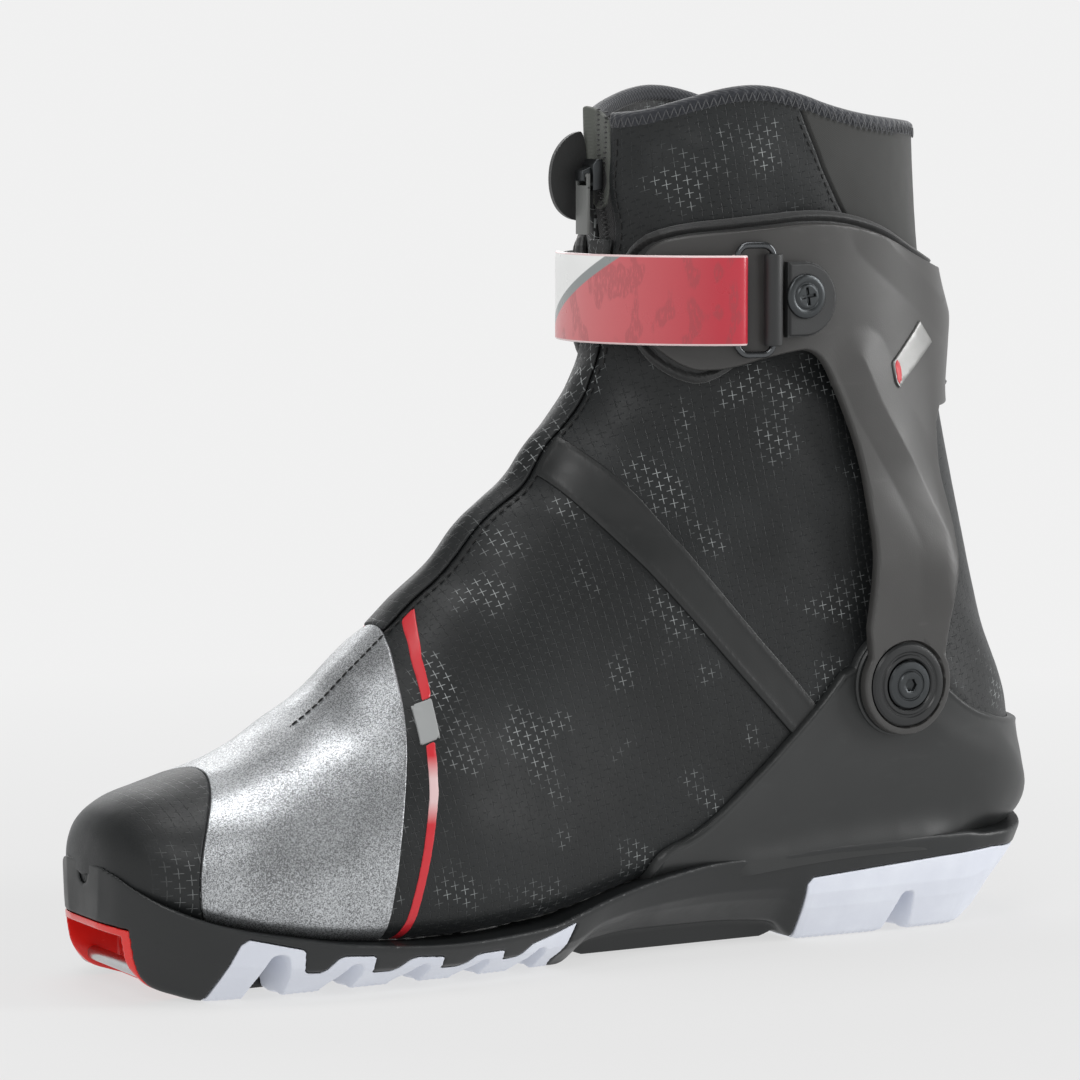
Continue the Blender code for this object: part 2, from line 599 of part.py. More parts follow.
def make_bands():
    """Taped bands that run from the heel shell over the instep to the zip."""
    upper = [(-10, 151), (-6, 147), (9, 133), (23, 114), (40, 93), (54, 78)]
    lower = [(51, 64), (34, 82), (16, 103), (-3, 125), (-16, 139), (-20, 143)]
    for side, sign in sides():
        columns = column_s(-8, 0) if sign < 0 else column_s(0, 8)
        band = layer_solid("instep_band_" + side, np.arange(8, 12.5), columns, BAND)
        outline = prism("outline", upper + lower, *side_span(sign, FLAP_HALF + GAP, 60))
        finish(combine(band, outline, "INTERSECT"), "foot", "taped_band")


def make_heel_shell():
    """Moulded heel counter that carries the two pivot bosses."""
    columns = column_s(3, RING - 3)
    shell = layer_solid("heel_shell", np.arange(8, 16.5), columns, HEEL_SHELL)
    front = [(5, 24.3), (7, 32), (21, 36), (40, 51), (53, 63), (64, 75), (70, 84)]
    top = circle_points(PIVOT_X, PIVOT_Z, BOSS_R + .6, 150, 20, 9)
    rear = [(110, 68), (122, 60), (142, 59), (160, 59)]
    combine(shell, prism("outline", front + top + rear + [(160, 0), (5, 0)], -60, 60),
            "INTERSECT")
    keep_between(shell, rim_line(GAP), level(200))
    for _, sign in sides():
        boss = disc("boss", PIVOT_X, PIVOT_Z, BOSS_R, *side_span(sign, 37.9, BOSS_Y), 32)
        combine(shell, boss, "UNION")
    pivot_holes(shell, NUT_BARREL_R + GAP)
    finish(shell, "foot", "heel_plastic")


def make_zip():
    """Zip tape with its chain, in three lengths, and the storm flap over it."""
    foot_top = front_t(FOOT_TOP)
    shaft_low = front_t(SHAFT_BOTTOM)
    collar = front_t(lifted(COLLAR_RIM, -1))
    lengths = (("zipper_lower", "foot", ZIP_FOOT_T + .1, foot_top, 10),
               ("zipper_ankle", "foot", foot_top + .03, shaft_low - .03, 9),
               ("zipper_upper", "cuff", shaft_low, collar, 4))
    for name, body, start, end, count in lengths:
        tape = front_strip(name, np.linspace(start, end, count), (-2.3, -.9), ZIP_TAPE)
        chain = front_strip("chain", np.linspace(start, end, count), (-1.4, .5), 1.6)
        finish(combine(tape, chain, "UNION"), body, "zip_tape")
    flap = front_strip("zip_flap", np.linspace(5.9, foot_top, 10), (.9, 1.9), FLAP_HALF)
    finish(flap, "foot", "softshell")


# ---------------------------------------------------------------- cuff

def cuff_surface(t, s, depth):
    """The cuff follows the shaft above, and its arms swing out to flat plates at the pivots."""
    point = last_offset(t, s, depth)
    low = np.clip((140 - point[..., 2]) / 46, 0, 1)
    aside = np.clip((np.abs(point[..., 1]) - 12) / 14, 0, 1)
    blend = low * low * (3 - 2 * low) * aside
    part = (depth - CUFF[0]) / (CUFF[1] - CUFF[0])
    plate = np.sign(point[..., 1]) * (ARM_Y[0] + part * (ARM_Y[1] - ARM_Y[0]))
    point[..., 1] += (plate - point[..., 1]) * blend
    return point


def make_cuff_shell():
    """Rigid cuff: wings round the shaft, back, and an arm down to each pivot."""
    t, s = CUFF_ROWS[:, None], column_s(1, RING - 1)[None, :]
    shell = grid_solid("cuff_shell", cuff_surface(t, s, CUFF[1]), cuff_surface(t, s, CUFF[0]))
    wing = [(16, 185), (16.5, 198), (18, 202), (22, 205), (41, 207), (63, 209), (81, 205),
            (96, 197), (112, 193), (140, 192), (140, 154), (105, 153.5), (102, 149)]
    rear = [(102, 136), (105.5, 122), (105, 110), (102.5, 95)]
    foot = circle_points(PIVOT_X, PIVOT_Z, ARM_R, 30, -215, 17)
    front = [(75, 92), (78, 112), (76, 126), (73.5, 141), (67, 158), (59, 174), (30, 166),
             (24, 168.5), (18, 173)]
    combine(shell, prism("outline", wing + rear + foot + front, -60, 60), "INTERSECT")
    pivot_holes(shell, ARM_HOLE_R)
    for _, sign in sides():
        seat = disc("seat", PIVOT_X, PIVOT_Z, COVER_SEAT_R, *side_span(sign, COVER_SEAT_Y, 60))
        combine(shell, seat)
        hole = disc("hole", STRAP_X, STRAP_Z, 3.2, *side_span(sign, 20, 60), 16)
        combine(shell, hole)
    finish(shell, "cuff", "cuff_plastic")


def make_cuff_padding():
    """Soft lining under the cuff, which shows as a rim round the wings."""
    pad = layer_solid("cuff_padding", CUFF_ROWS, column_s(1, RING - 1), PADDING)
    outline = [(12, 186), (13, 202), (20, 208.5), (41, 210.5), (64, 212.5), (83, 208.5),
               (98, 200.5), (113, 196), (140, 195), (140, 158), (104, 158), (96, 160),
               (70, 168), (60, 177.5), (31, 162.5), (22, 165), (14, 172)]
    combine(pad, prism("outline", outline, -60, 60), "INTERSECT")
    for _, sign in sides():
        combine(pad, disc("hole", STRAP_X, STRAP_Z, 6.2, *side_span(sign, 20, 60), 16))
    finish(pad, "cuff", "padding_foam")


def make_badge():
    """Small metal plate on the cuff's rear corner."""
    badge = layer_solid("cuff_badge", CUFF_ROWS[4:10], column_s(-9, -4),
                        (CUFF[1] + GAP, CUFF[1] + 1.0))
    corners = [(84, 168), (95, 179), (100, 172.5), (85, 160)]
    finish(combine(badge, prism("outline", corners, -60, 0), "INTERSECT"), "cuff",
           "badge_metal")


def make_pivots():
    """Nut, bushing, screw and cover at each side of the ankle."""
    for side, sign in sides():
        where = (PIVOT_X, PIVOT_Z)
        nut = disc("pivot_nut_" + side, *where, NUT_FLANGE_R, *side_span(sign, *NUT_FLANGE_Y))
        barrel = disc("barrel", *where, NUT_BARREL_R,
                      *side_span(sign, NUT_FLANGE_Y[0] + .4, NUT_BARREL_Y))
        combine(nut, barrel, "UNION")
        bore = disc("bore", *where, SCREW_SHANK_R + GAP, *side_span(sign, 20, 60), 20)
        finish(combine(nut, bore), "foot", "steel")
        bush = disc("pivot_bushing_" + side, *where, BUSH_R, *side_span(sign, *BUSH_Y),
                    hole=BUSH_HOLE_R)
        finish(bush, "foot", "black_plastic")
        cover = disc("pivot_cover_" + side, *where, COVER_R, *side_span(sign, *COVER_Y), 28,
                     hole=COVER_HOLE_R)
        finish(cover, "cuff", "black_plastic")
        screw = disc("pivot_screw_" + side, *where, SCREW_HEAD_R,
                     *side_span(sign, *SCREW_HEAD_Y))
        shank = disc("shank", *where, SCREW_SHANK_R,
                     *side_span(sign, SCREW_END_Y, SCREW_HEAD_Y[0] + .5), 20)
        combine(screw, shank, "UNION")
        socket = disc("socket", *where, HEX_R,
                      *side_span(sign, SCREW_HEAD_Y[1] - HEX_DEPTH, 60), 6)
        finish(combine(screw, socket), "foot", "dark_metal")


# ---------------------------------------------------------------- strap

def strap_path():
    """Plan of the strap's middle, from the lateral screw round the front, by arc length."""
    turn = np.linspace(0, np.pi, 241)
    x = STRAP_CENTRE_X - STRAP_AX * np.sin(turn)
    y = -STRAP_BY * np.cos(turn)
    run = np.concatenate([[0], np.hypot(np.diff(x), np.diff(y)).cumsum()])
    return run, x, y


STRAP_RUN, STRAP_PX, STRAP_PY = strap_path()
STRAP_LENGTH = STRAP_RUN[-1]


def strap_at(run, out=0.0):
    """Plan point at a place along the strap, out from its middle; straight behind its ends."""
    run = np.asarray(run, float)
    extra = np.minimum(run, 0) - np.maximum(run - STRAP_LENGTH, 0)
    held = np.clip(run, 0, STRAP_LENGTH)
    x, y = np.interp(held, STRAP_RUN, STRAP_PX), np.interp(held, STRAP_RUN, STRAP_PY)
    a, b = np.clip(held - .8, 0, STRAP_LENGTH), np.clip(held + .8, 0, STRAP_LENGTH)
    dx = np.interp(b, STRAP_RUN, STRAP_PX) - np.interp(a, STRAP_RUN, STRAP_PX)
    dy = np.interp(b, STRAP_RUN, STRAP_PY) - np.interp(a, STRAP_RUN, STRAP_PY)
    size = np.hypot(dx, dy)
    return np.stack([x + np.abs(extra) - out * dy / size, y + out * dx / size], axis=-1)


def hook(centre, outward, radius, turns):
    """Plan arc round a wire, starting from the outward direction."""
    base = math.atan2(outward[1], outward[0])
    return [(centre[0] + radius * math.cos(base + a), centre[1] + radius * math.sin(base + a))
            for a in turns]


def make_strap_base():
    """Webbing that runs from the medial tab round the front, under the flap."""
    runs = np.linspace(RING_FRONT + 5.5, STRAP_LENGTH - RING_REAR - 4.5, 31)
    outline = list(strap_at(runs, .8)) + list(strap_at(runs[::-1], -.8))
    finish(plan_prism("strap_base", outline, STRAP_Z0 + .5, STRAP_Z1 - .5), "strap", "webbing")


FLAP_LEG = strap_at(RING_FRONT, -.2)           # plan place of the wire that the flap turns on
FLAP_OUT = strap_at(RING_FRONT, .8) - FLAP_LEG
ORIGINS["strap_flap"] = (FLAP_LEG[0], FLAP_LEG[1], (STRAP_Z0 + STRAP_Z1) / 2)


def make_strap_flap():
    """Free end of the strap, folded round the front wire of the ring and back over itself."""
    runs = np.linspace(RING_FRONT, STRAP_TIP, 27)
    around = np.radians(np.linspace(15, 215, 9))
    outline = list(strap_at(runs[::-1], 2.7)) + hook(FLAP_LEG, FLAP_OUT, 2.9, around)
    outline += hook(FLAP_LEG, FLAP_OUT, 1.5, around[::-1]) + list(strap_at(runs, 1.3))
    finish(plan_prism("strap_flap", outline, STRAP_Z0, STRAP_Z1), "strap_flap", "red_strap")


def make_strap_ring():
    """Rounded rectangle of wire that joins the flap to the lateral tab."""
    front, rear = FLAP_LEG, strap_at(RING_REAR, WIRE_OUT)
    corner = 3.2
    width = np.hypot(*(rear - front))
    path = []
    for u, z, start in ((corner, RING_Z0 + corner, 180), (width - corner, RING_Z0 + corner, 270),
                        (width - corner, RING_Z1 - corner, 0), (corner, RING_Z1 - corner, 90)):
        path += circle_points(u, z, corner, start, start + 90, 5)
    points = [(*(front + (rear - front) * u / width), z) for u, z in path]
    finish(sweep("strap_ring", points, RING_WIRE_R, 6, ring=True), "strap", "steel")


def make_strap_tabs():
    """Plastic tabs screwed to the cuff: the lateral one turns round the ring's rear wire, and
    the medial one clasps the end of the webbing."""
    middle = (RING_Z0 + RING_Z1) / 2
    half = (STRAP_Z1 - STRAP_Z0) / 2 + .8
    z0, z1 = middle - half, middle + half
    rear = circle_points(STRAP_X, middle, half, 80, -80, 13)
    for side, sign in sides():
        front = RING_REAR - 1 if sign < 0 else RING_REAR - 2
        runs = np.linspace(-15.5, front, 8)
        plate = list(strap_at(runs, 1.4)) + list(strap_at(runs[::-1], -1.2))
        tab = plan_prism("strap_tab_" + side, [(x, -sign * y) for x, y in plate], z0, z1)
        combine(tab, prism("shape", [(30, z0), (30, z1)] + rear, -60, 60), "INTERSECT")
        if sign < 0:
            leg = strap_at(RING_REAR, WIRE_OUT)
            for radius, operation in ((TUBE_R, "UNION"), (RING_WIRE_R + GAP, "DIFFERENCE")):
                past = 0 if operation == "UNION" else 5
                combine(tab, plan_prism("tube", hook(leg, (0, 1), radius,
                                        np.radians(np.arange(0, 360, 22.5))),
                                        z0 + .5 - past, z1 - .5 + past), operation)
        else:
            runs = np.linspace(4, RING_REAR + 4, 3)
            for low, high, shift, operation in ((-2.3, 2.6, 0, "UNION"),
                                                (-1.1, 1.1, 3, "DIFFERENCE")):
                clasp = list(strap_at(runs + shift, high)) + list(strap_at(runs[::-1] + shift, low))
                trim = .4 if operation == "UNION" else 1
                combine(tab, plan_prism("clasp", [(x, -y) for x, y in clasp], z0 + trim,
                                        z1 - trim), operation)
        combine(tab, disc("hole", STRAP_X, STRAP_Z, 3.2, *side_span(sign, 20, 60), 16))
        finish(tab, "strap", "black_plastic")


def make_strap_screws():
    """Screw, spacer and nut that fix each tab to the cuff."""
    for side, sign in sides():
        where = (STRAP_X, STRAP_Z)
        washer = disc("strap_washer_" + side, *where, 6.0, *side_span(sign, 39.5, 40.0),
                      hole=3.2)
        finish(washer, "strap", "black_plastic")
        screw = disc("strap_screw_" + side, *where, 6.4, *side_span(sign, 43.2, 44.7))
        combine(screw, disc("shank", *where, 2.8, *side_span(sign, 34.4, 43.6), 16), "UNION")
        for turn in (8, 98):
            tilt = math.radians(turn)
            u, v = (math.cos(tilt), math.sin(tilt)), (-math.sin(tilt), math.cos(tilt))
            cross = [(STRAP_X + a * u[0] + b * v[0], STRAP_Z + a * u[1] + b * v[1])
                     for a, b in ((-2.4, -.45), (2.4, -.45), (2.4, .45), (-2.4, .45))]
            combine(screw, prism("recess", cross, *side_span(sign, 43.8, 60)))
        finish(screw, "strap", "dark_metal")
        nut = disc("strap_nut_" + side, *where, 5.6, *side_span(sign, 33.0, 34.9), 20,
                   hole=3.1)
        finish(nut, "cuff", "steel")


# ---------------------------------------------------------------- zip pull and lacing

def make_zip_slider():
    """Slider on the chain, with the pull tab hanging from its bridge."""
    x, pin_x, pin_z = ZIP_X, ZIP_X - PIN_OUT, SLIDER_Z - .2
    body = prism("zip_slider", [(x - 4.2, SLIDER_Z - 4.5), (x - 4.2, SLIDER_Z + 3),
                                (x - 2.8, SLIDER_Z + 4.5), (x - .9, SLIDER_Z + 4.5),
                                (x - .9, SLIDER_Z - 4.5)], -3.5, 3.5)
    bridge = prism("bridge", [(pin_x - 1.5, SLIDER_Z - 1.6), (pin_x - 1.5, SLIDER_Z + 1.2),
                              (x - 4.0, SLIDER_Z + 2.4), (x - 4.0, SLIDER_Z - 2.6)], -2.2, 2.2)
    combine(body, bridge, "UNION")
    combine(body, disc("eye", pin_x, pin_z, .95, -9, 9, 12))
    finish(body, "zip_slider", "dark_metal")
    plate = [(pin_x - .6, SLIDER_Z - 17), (pin_x - .6, SLIDER_Z - 3), (pin_x + .6, SLIDER_Z - 3),
             (pin_x + .6, SLIDER_Z - 17)]
    pull = prism("zip_puller", plate, -3.4, 3.4)
    for y in (-3.0, 3.0):
        arm = [(pin_x - .6, SLIDER_Z - 4), (pin_x - .6, pin_z + .6), (pin_x + .6, pin_z + .6),
               (pin_x + .6, SLIDER_Z - 4)]
        combine(pull, prism("arm", arm, y - .4, y + .4), "UNION")
    pin = disc("pin", pin_x, pin_z, .55, -3.1, 3.1, 10)
    finish(combine(pull, pin, "UNION"), "zip_puller", "black_plastic")


def make_zip_guard():
    """Half-moon flap beside the top of the zip, on the medial side."""
    edge = [(4, 204.6), (-1, 207), (-4, 212), (-5, 220), (-4, 228), (-1, 233), (4, 236), (9.5, 237)]
    guard = prism("zip_guard", edge + [(9.5, 204.2), (7, 204.2)], 4.6 + 1.0, 6.4 + 1.0)
    finish(guard, "cuff", "neoprene")


def make_lacing():
    """Tongue, the two eyestays, and the speed lace with its lock, under the softshell."""
    tongue = layer_solid("tongue", np.arange(7, 16.5), column_s(-2, 2), TONGUE)
    finish(tongue, "foot", "padding_foam")
    eyes = np.linspace(6.9, 8.9, 6)
    for side, sign in sides():
        stay = layer_solid("eyestay_" + side, eyes, sign * np.linspace(.13, .24, 4),
                           (-7.0, -5.0))
        finish(stay, "foot", "webbing")
    rungs = np.linspace(7.0, 8.8, 5)
    path = []
    for k, (a, b) in enumerate(zip(rungs[:-1], rungs[1:])):
        sign = 1 if k % 2 else -1
        f = np.linspace(0, 1, 4, endpoint=False)
        path.append(last_offset(a + (b - a) * f, sign * .1 * (2 * f - 1), LACE_DEPTH))
    path.append(last_offset(rungs[-1:], [.1 * (1 if len(rungs) % 2 else -1)], LACE_DEPTH))
    finish(sweep("speed_lace", np.concatenate(path), LACE_R, 6), "foot", "red_strap")


# ---------------------------------------------------------------- assembly

def add_axes():
    """One empty on each moving body's axis, chained from the foot to the zip's pull tab."""
    parents = {"cuff": "foot", "strap": "cuff", "strap_flap": "strap", "zip_slider": "cuff",
               "zip_puller": "zip_slider"}
    for body in ("foot", "cuff", "strap", "strap_flap", "zip_slider", "zip_puller"):
        empty = bpy.data.objects.new(body + "_axis", None)
        bpy.context.scene.collection.objects.link(empty)
        place = Vector(ORIGINS[body])
        if body != "foot":
            place += Vector((CENTRE_X, 0, 0))
        parent = parents.get(body)
        if parent:
            empty.parent = bpy.data.objects[parent + "_axis"]
            place -= Vector(ORIGINS[parent])
            if parent != "foot":
                place -= Vector((CENTRE_X, 0, 0))
        empty.location = place * MM
        bpy.context.view_layer.update()


def main():
    for obj in list(bpy.data.objects):
        bpy.data.objects.remove(obj)
    add_axes()
    make_outsole()
    make_treads()
    make_toe_binding()
    make_footbed()
    make_upper_foot()
    make_ankle()
    make_shaft()
    make_collar_binding()
    make_facings()
    make_bands()
    make_heel_shell()
    make_zip()
    make_cuff_shell()
    make_cuff_padding()
    make_badge()
    make_pivots()
    make_strap_base()
    make_strap_flap()
    make_strap_ring()
    make_strap_tabs()
    make_strap_screws()
    make_zip_slider()
    make_zip_guard()
    make_lacing()


main()
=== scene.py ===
"""Looks of the cross-country skating boot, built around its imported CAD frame.

Lengths are in millimetres; make_mesh turns them into metres. +Z is up, the toe points to -X
and the outer (lateral) side of the foot is -Y. The last is a closed surface: t runs from the
toe tip to the collar and s round each section, from 0 at the top or front centre line to
+1 or -1 at the bottom or back centre line. Panels are cut from it along outlines drawn in
side view, and rounded at their edges.
"""
import bmesh
import bpy
import math
import numpy as np
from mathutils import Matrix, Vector, noise


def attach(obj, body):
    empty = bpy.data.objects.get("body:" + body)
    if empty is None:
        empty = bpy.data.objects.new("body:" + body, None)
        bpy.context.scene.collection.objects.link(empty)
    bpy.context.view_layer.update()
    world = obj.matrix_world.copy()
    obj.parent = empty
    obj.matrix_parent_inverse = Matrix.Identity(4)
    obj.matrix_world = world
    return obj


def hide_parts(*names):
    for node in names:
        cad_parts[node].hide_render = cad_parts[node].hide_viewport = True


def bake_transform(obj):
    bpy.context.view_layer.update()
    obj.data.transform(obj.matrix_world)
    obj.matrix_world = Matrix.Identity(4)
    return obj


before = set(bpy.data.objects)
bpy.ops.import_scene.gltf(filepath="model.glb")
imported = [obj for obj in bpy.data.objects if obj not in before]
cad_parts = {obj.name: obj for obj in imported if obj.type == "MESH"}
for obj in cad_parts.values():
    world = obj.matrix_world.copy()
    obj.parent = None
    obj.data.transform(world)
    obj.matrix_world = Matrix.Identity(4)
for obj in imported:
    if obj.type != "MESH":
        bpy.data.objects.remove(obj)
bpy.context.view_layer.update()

MM = 0.001
WELD = 0.0005          # corners nearer than this are one
CENTRE_X = 1.41        # the frame's origin is at the middle of its box
SIDES = (("lateral", -1), ("medial", 1))      # name, and sign of Y

# The last, a row per value of t: front x, z | back x, z | half width | widest place, as a
# share of the way to the back | front and back roundness
LAST = np.array([
    (-151.8, 36, -151.8, 31, 1.5, .5, 1, 1), (-150.6, 43, -150.6, 27.5, 12, .55, .9, .7),
    (-147, 48.5, -147, 26, 20.5, .55, .95, .65), (-140, 53, -140, 23, 28.5, .6, 1, .6),
    (-128, 56.3, -128, 19.5, 35.5, .65, 1, .55), (-110, 61.5, -110, 15.5, 41.5, .7, 1, .5),
    (-86, 74.5, -88, 12.5, 45.5, .74, 1.05, .5), (-60, 98, -60, 11.5, 46, .78, 1.15, .5),
    (-38, 118, -28, 13.5, 43, .8, 1.25, .5), (-18, 138, 8, 20.5, 39, .8, 1.2, .5),
    (-4, 153, 45, 25.5, 37.5, .75, 1.1, .5), (3, 162, 85, 27.5, 37, .68, 1, .5),
    (6.5, 170, 131, 27.2, 37, .62, .95, .55), (8, 178, 147, 36, 36.5, .6, .9, .75),
    (9, 187, 146.5, 58, 35.5, .55, .9, .9), (10.5, 197, 138, 85, 34.5, .5, .9, .95),
    (10.5, 208, 130.5, 115, 33.5, .5, .9, .95), (10.5, 219, 123, 148, 32.5, .5, .9, .95),
    (10.5, 229, 117, 178, 32, .5, .9, .95), (10.5, 238, 113.5, 208, 31.5, .5, .9, .95),
    (10.5, 247, 112, 236, 31, .5, .9, .95), (10.5, 256, 111.5, 256, 31, .5, .9, .95)], float)
LAST_TOP = len(LAST) - 1.0

SHAFT_BOTTOM = ((-20, 196), (9, 188), (120, 158), (150, 150))
COLLAR_RIM = ((-20, 238), (11, 239), (25, 244), (40, 248), (54, 247), (75, 240), (106, 237),
              (130, 236))
RIM_BAND = 5.0         # height of the tape on the collar
SKIN_DEPTH, SKIN_MIDDLE = -2.6, -1.3   # the skin's inner face and its edges' middle
ZIP_END_X = -64.0      # where the zip ends on the toe
SLOT_HALF = 4.6        # half width of the opening along the zip
PIVOT_X, PIVOT_Z = 88.0, 75.0

# Sole: x | bottom z at the edge | rim z | rim half width | bottom half width
SOLE = np.array([
    (-152.4, 20, 37, 11, 9), (-150.5, 14, 35, 18, 15), (-147, 9, 31.5, 24, 20),
    (-142, 4, 28, 30, 24), (-137, 2, 25.5, 34, 27), (-128, 0, 22, 38.5, 31),
    (-112, 0, 18.5, 43.5, 33), (-90, 0, 15, 47.5, 33), (-60, 0, 13, 48, 33),
    (-30, 0, 14.5, 45, 31), (-20, 0, 17, 43.3, 29.5), (-8, 6, 20.5, 41.6, 28),
    (10, 7.5, 24.5, 40, 27), (30, 7.5, 27, 38.5, 27), (52, 6, 27.5, 37.8, 27.5),
    (62, 0, 28.3, 37.8, 28), (90, 0, 29, 38, 29), (113, 0, 29, 37.5, 28), (122, 3.5, 28, 36, 26),
    (130, 10, 28, 34, 23), (140, 18, 28.5, 26, 16), (146, 21, 29.5, 16, 9), (149, 24, 30.5, 6, 4)],
    float)

# Power strap
STRAP_X, STRAP_Z = 53.0, 188.0
STRAP_CENTRE_X, STRAP_AX, STRAP_BY = 50.0, 45.8, 41.5
STRAP_Z0, STRAP_Z1 = 174.3, 199.8      # lower and upper edge
RING_FRONT, RING_REAR = 17.0, 6.5
RING_Z0, RING_Z1, RING_WIRE_R = 171.6, 202.6, .95
WIRE_OUT, TUBE_R = .2, 2.7
STRAP_TIP = 86.0

PALE = (.875, .875, .875)     # floor and horizon
DIM = .22                     # overhead
LENS, SENSOR = 158.5, 36
CAMERA_AT, CAMERA_AIM = (-.6651, -1.1859, .2507), (-.0186, -.0196, .120)
# Lights, in metres and watts: name, place, aim, size, power
LIGHTS = (("key", (-.9, -1.0, 1.3), (0, 0, .1), (.7, .7), 9),
          ("side", (1.2, -.7, .7), (0, 0, .13), (.35, 1.0), 13),
          ("top", (0, .2, 1.6), (0, 0, .1), (1.0, .5), 9),
          ("rear", (.3, 1.4, .8), (0, 0, .12), (1.0, .8), 6))


# ---------------------------------------------------------------- the last

def knot_slopes(rows):
    """Slopes at unit-spaced knots that never overshoot the stations."""
    step = np.diff(rows, axis=0)
    product = step[:-1] * step[1:]
    slopes = np.zeros_like(rows)
    same = product > 0
    slopes[1:-1] = np.where(same, 2 * product / np.where(same, step[:-1] + step[1:], 1), 0)
    slopes[0], slopes[-1] = step[0], step[-1]
    return slopes


def along_table(table, at):
    """A table's rows by cubic interpolation at fractional row numbers."""
    slopes = knot_slopes(table)
    at = np.clip(at, 0, len(table) - 1)
    i = np.minimum(at.astype(int), len(table) - 2)
    f = (at - i)[:, None]
    return ((1 + 2 * f) * (1 - f) ** 2 * table[i] + f * (1 - f) ** 2 * slopes[i]
            + f * f * (3 - 2 * f) * table[i + 1] + f * f * (f - 1) * slopes[i + 1])


def last_grid(t, s):
    """Points of the softshell's outer face on a grid of t and s."""
    theta = np.linspace(0, np.pi, 481)
    cosine, sine = np.abs(np.cos(theta)), np.clip(np.sin(theta), 0, 1)
    ahead = theta < np.pi / 2
    points = np.empty((len(t), len(s), 3))
    for row, station in enumerate(along_table(LAST, t)):
        fx, fz, bx, bz, wide, widest, front, back = station
        across = wide * sine ** np.where(ahead, front, back)
        along = np.where(ahead, widest * (1 - cosine ** front),
                         widest + (1 - widest) * cosine ** back)
        chord = math.hypot(bx - fx, bz - fz)
        run = np.hypot(np.diff(along * chord), np.diff(across)).cumsum()
        run = np.concatenate([[0], run]) / run[-1]
        u = np.interp(np.abs(s), run, along)
        points[row, :, 0] = fx + u * (bx - fx)
        points[row, :, 1] = np.interp(np.abs(s), run, across) * np.sign(s)
        points[row, :, 2] = fz + u * (bz - fz)
    return points


def grid_normals(points, wrap):
    """Outward normals of a grid of points."""
    if wrap:
        around = np.roll(points, -1, axis=1) - np.roll(points, 1, axis=1)
    else:
        around = np.gradient(points, axis=1)
    normal = np.cross(np.gradient(points, axis=0), around)
    return normal / np.maximum(np.linalg.norm(normal, axis=-1, keepdims=True), 1e-9)


def smoothstep(low, high, value):
    """0 below a range, 1 above it, and a smooth step between."""
    x = np.clip((value - low) / (high - low), 0, 1)
    return x * x * (3 - 2 * x)


def fabric_ripple(p):
    """How far the soft upper's surface lies out from the last, in gentle folds."""
    x, _, z = p.T
    ankle = smoothstep(95, 128, z) * (1 - smoothstep(176, 196, z)) * (1 - smoothstep(70, 115, x))
    shaft = smoothstep(190, 206, z) * (1 - smoothstep(228, 238, z)) * (1 - smoothstep(60, 90, x))
    vamp = smoothstep(24, 50, z) * (1 - smoothstep(-75, -5, x)) * smoothstep(-140, -110, x)
    size = 1.25 * ankle + 1.15 * shaft + .5 * vamp
    wave = np.array([noise.noise((a * .030 + c * .045, b * .05, c * .030 - a * .02))
                     + .45 * noise.noise((a * .07, b * .09 + 7, c * .08))
                     for a, b, c in p])
    fine = np.array([noise.noise((a * .22, b * .22, c * .22 + 3)) for a, b, c in p])
    return size * wave * 1.5 + fine * .05


# ---------------------------------------------------------------- meshes

def make_mesh(name, points, faces, look, smooth=40, attributes=None):
    """A new object from points in millimetres."""
    mesh = bpy.data.meshes.new(name)
    points = (np.asarray(points, float) + (CENTRE_X, 0, 0)) * MM
    mesh.from_pydata(points.tolist(), [], [list(map(int, f)) for f in faces])
    for key, values in (attributes or {}).items():
        layer = mesh.attributes.new(key, "FLOAT_VECTOR", "POINT")
        layer.data.foreach_set("vector", np.ascontiguousarray(values, np.float32).ravel())
    shell = bmesh.new()
    shell.from_mesh(mesh)
    bmesh.ops.remove_doubles(shell, verts=shell.verts, dist=WELD * MM)
    bmesh.ops.recalc_face_normals(shell, faces=shell.faces)
    shell.to_mesh(mesh)
    shell.free()
    mesh.shade_smooth()
    mesh.set_sharp_from_angle(angle=math.radians(smooth))
    mesh.materials.append(LOOKS[look])
    obj = bpy.data.objects.new(name, mesh)
    bpy.context.scene.collection.objects.link(obj)
    return obj


def place(obj, bodies, replaced=(), bend=None):
    """Hide the CAD nodes a piece stands for; hang it on its body, or with a bend only bake its
    transform.
    """
    if replaced:
        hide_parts(*replaced)
    if bend:
        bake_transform(obj)
    else:
        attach(obj, bodies)
    return obj


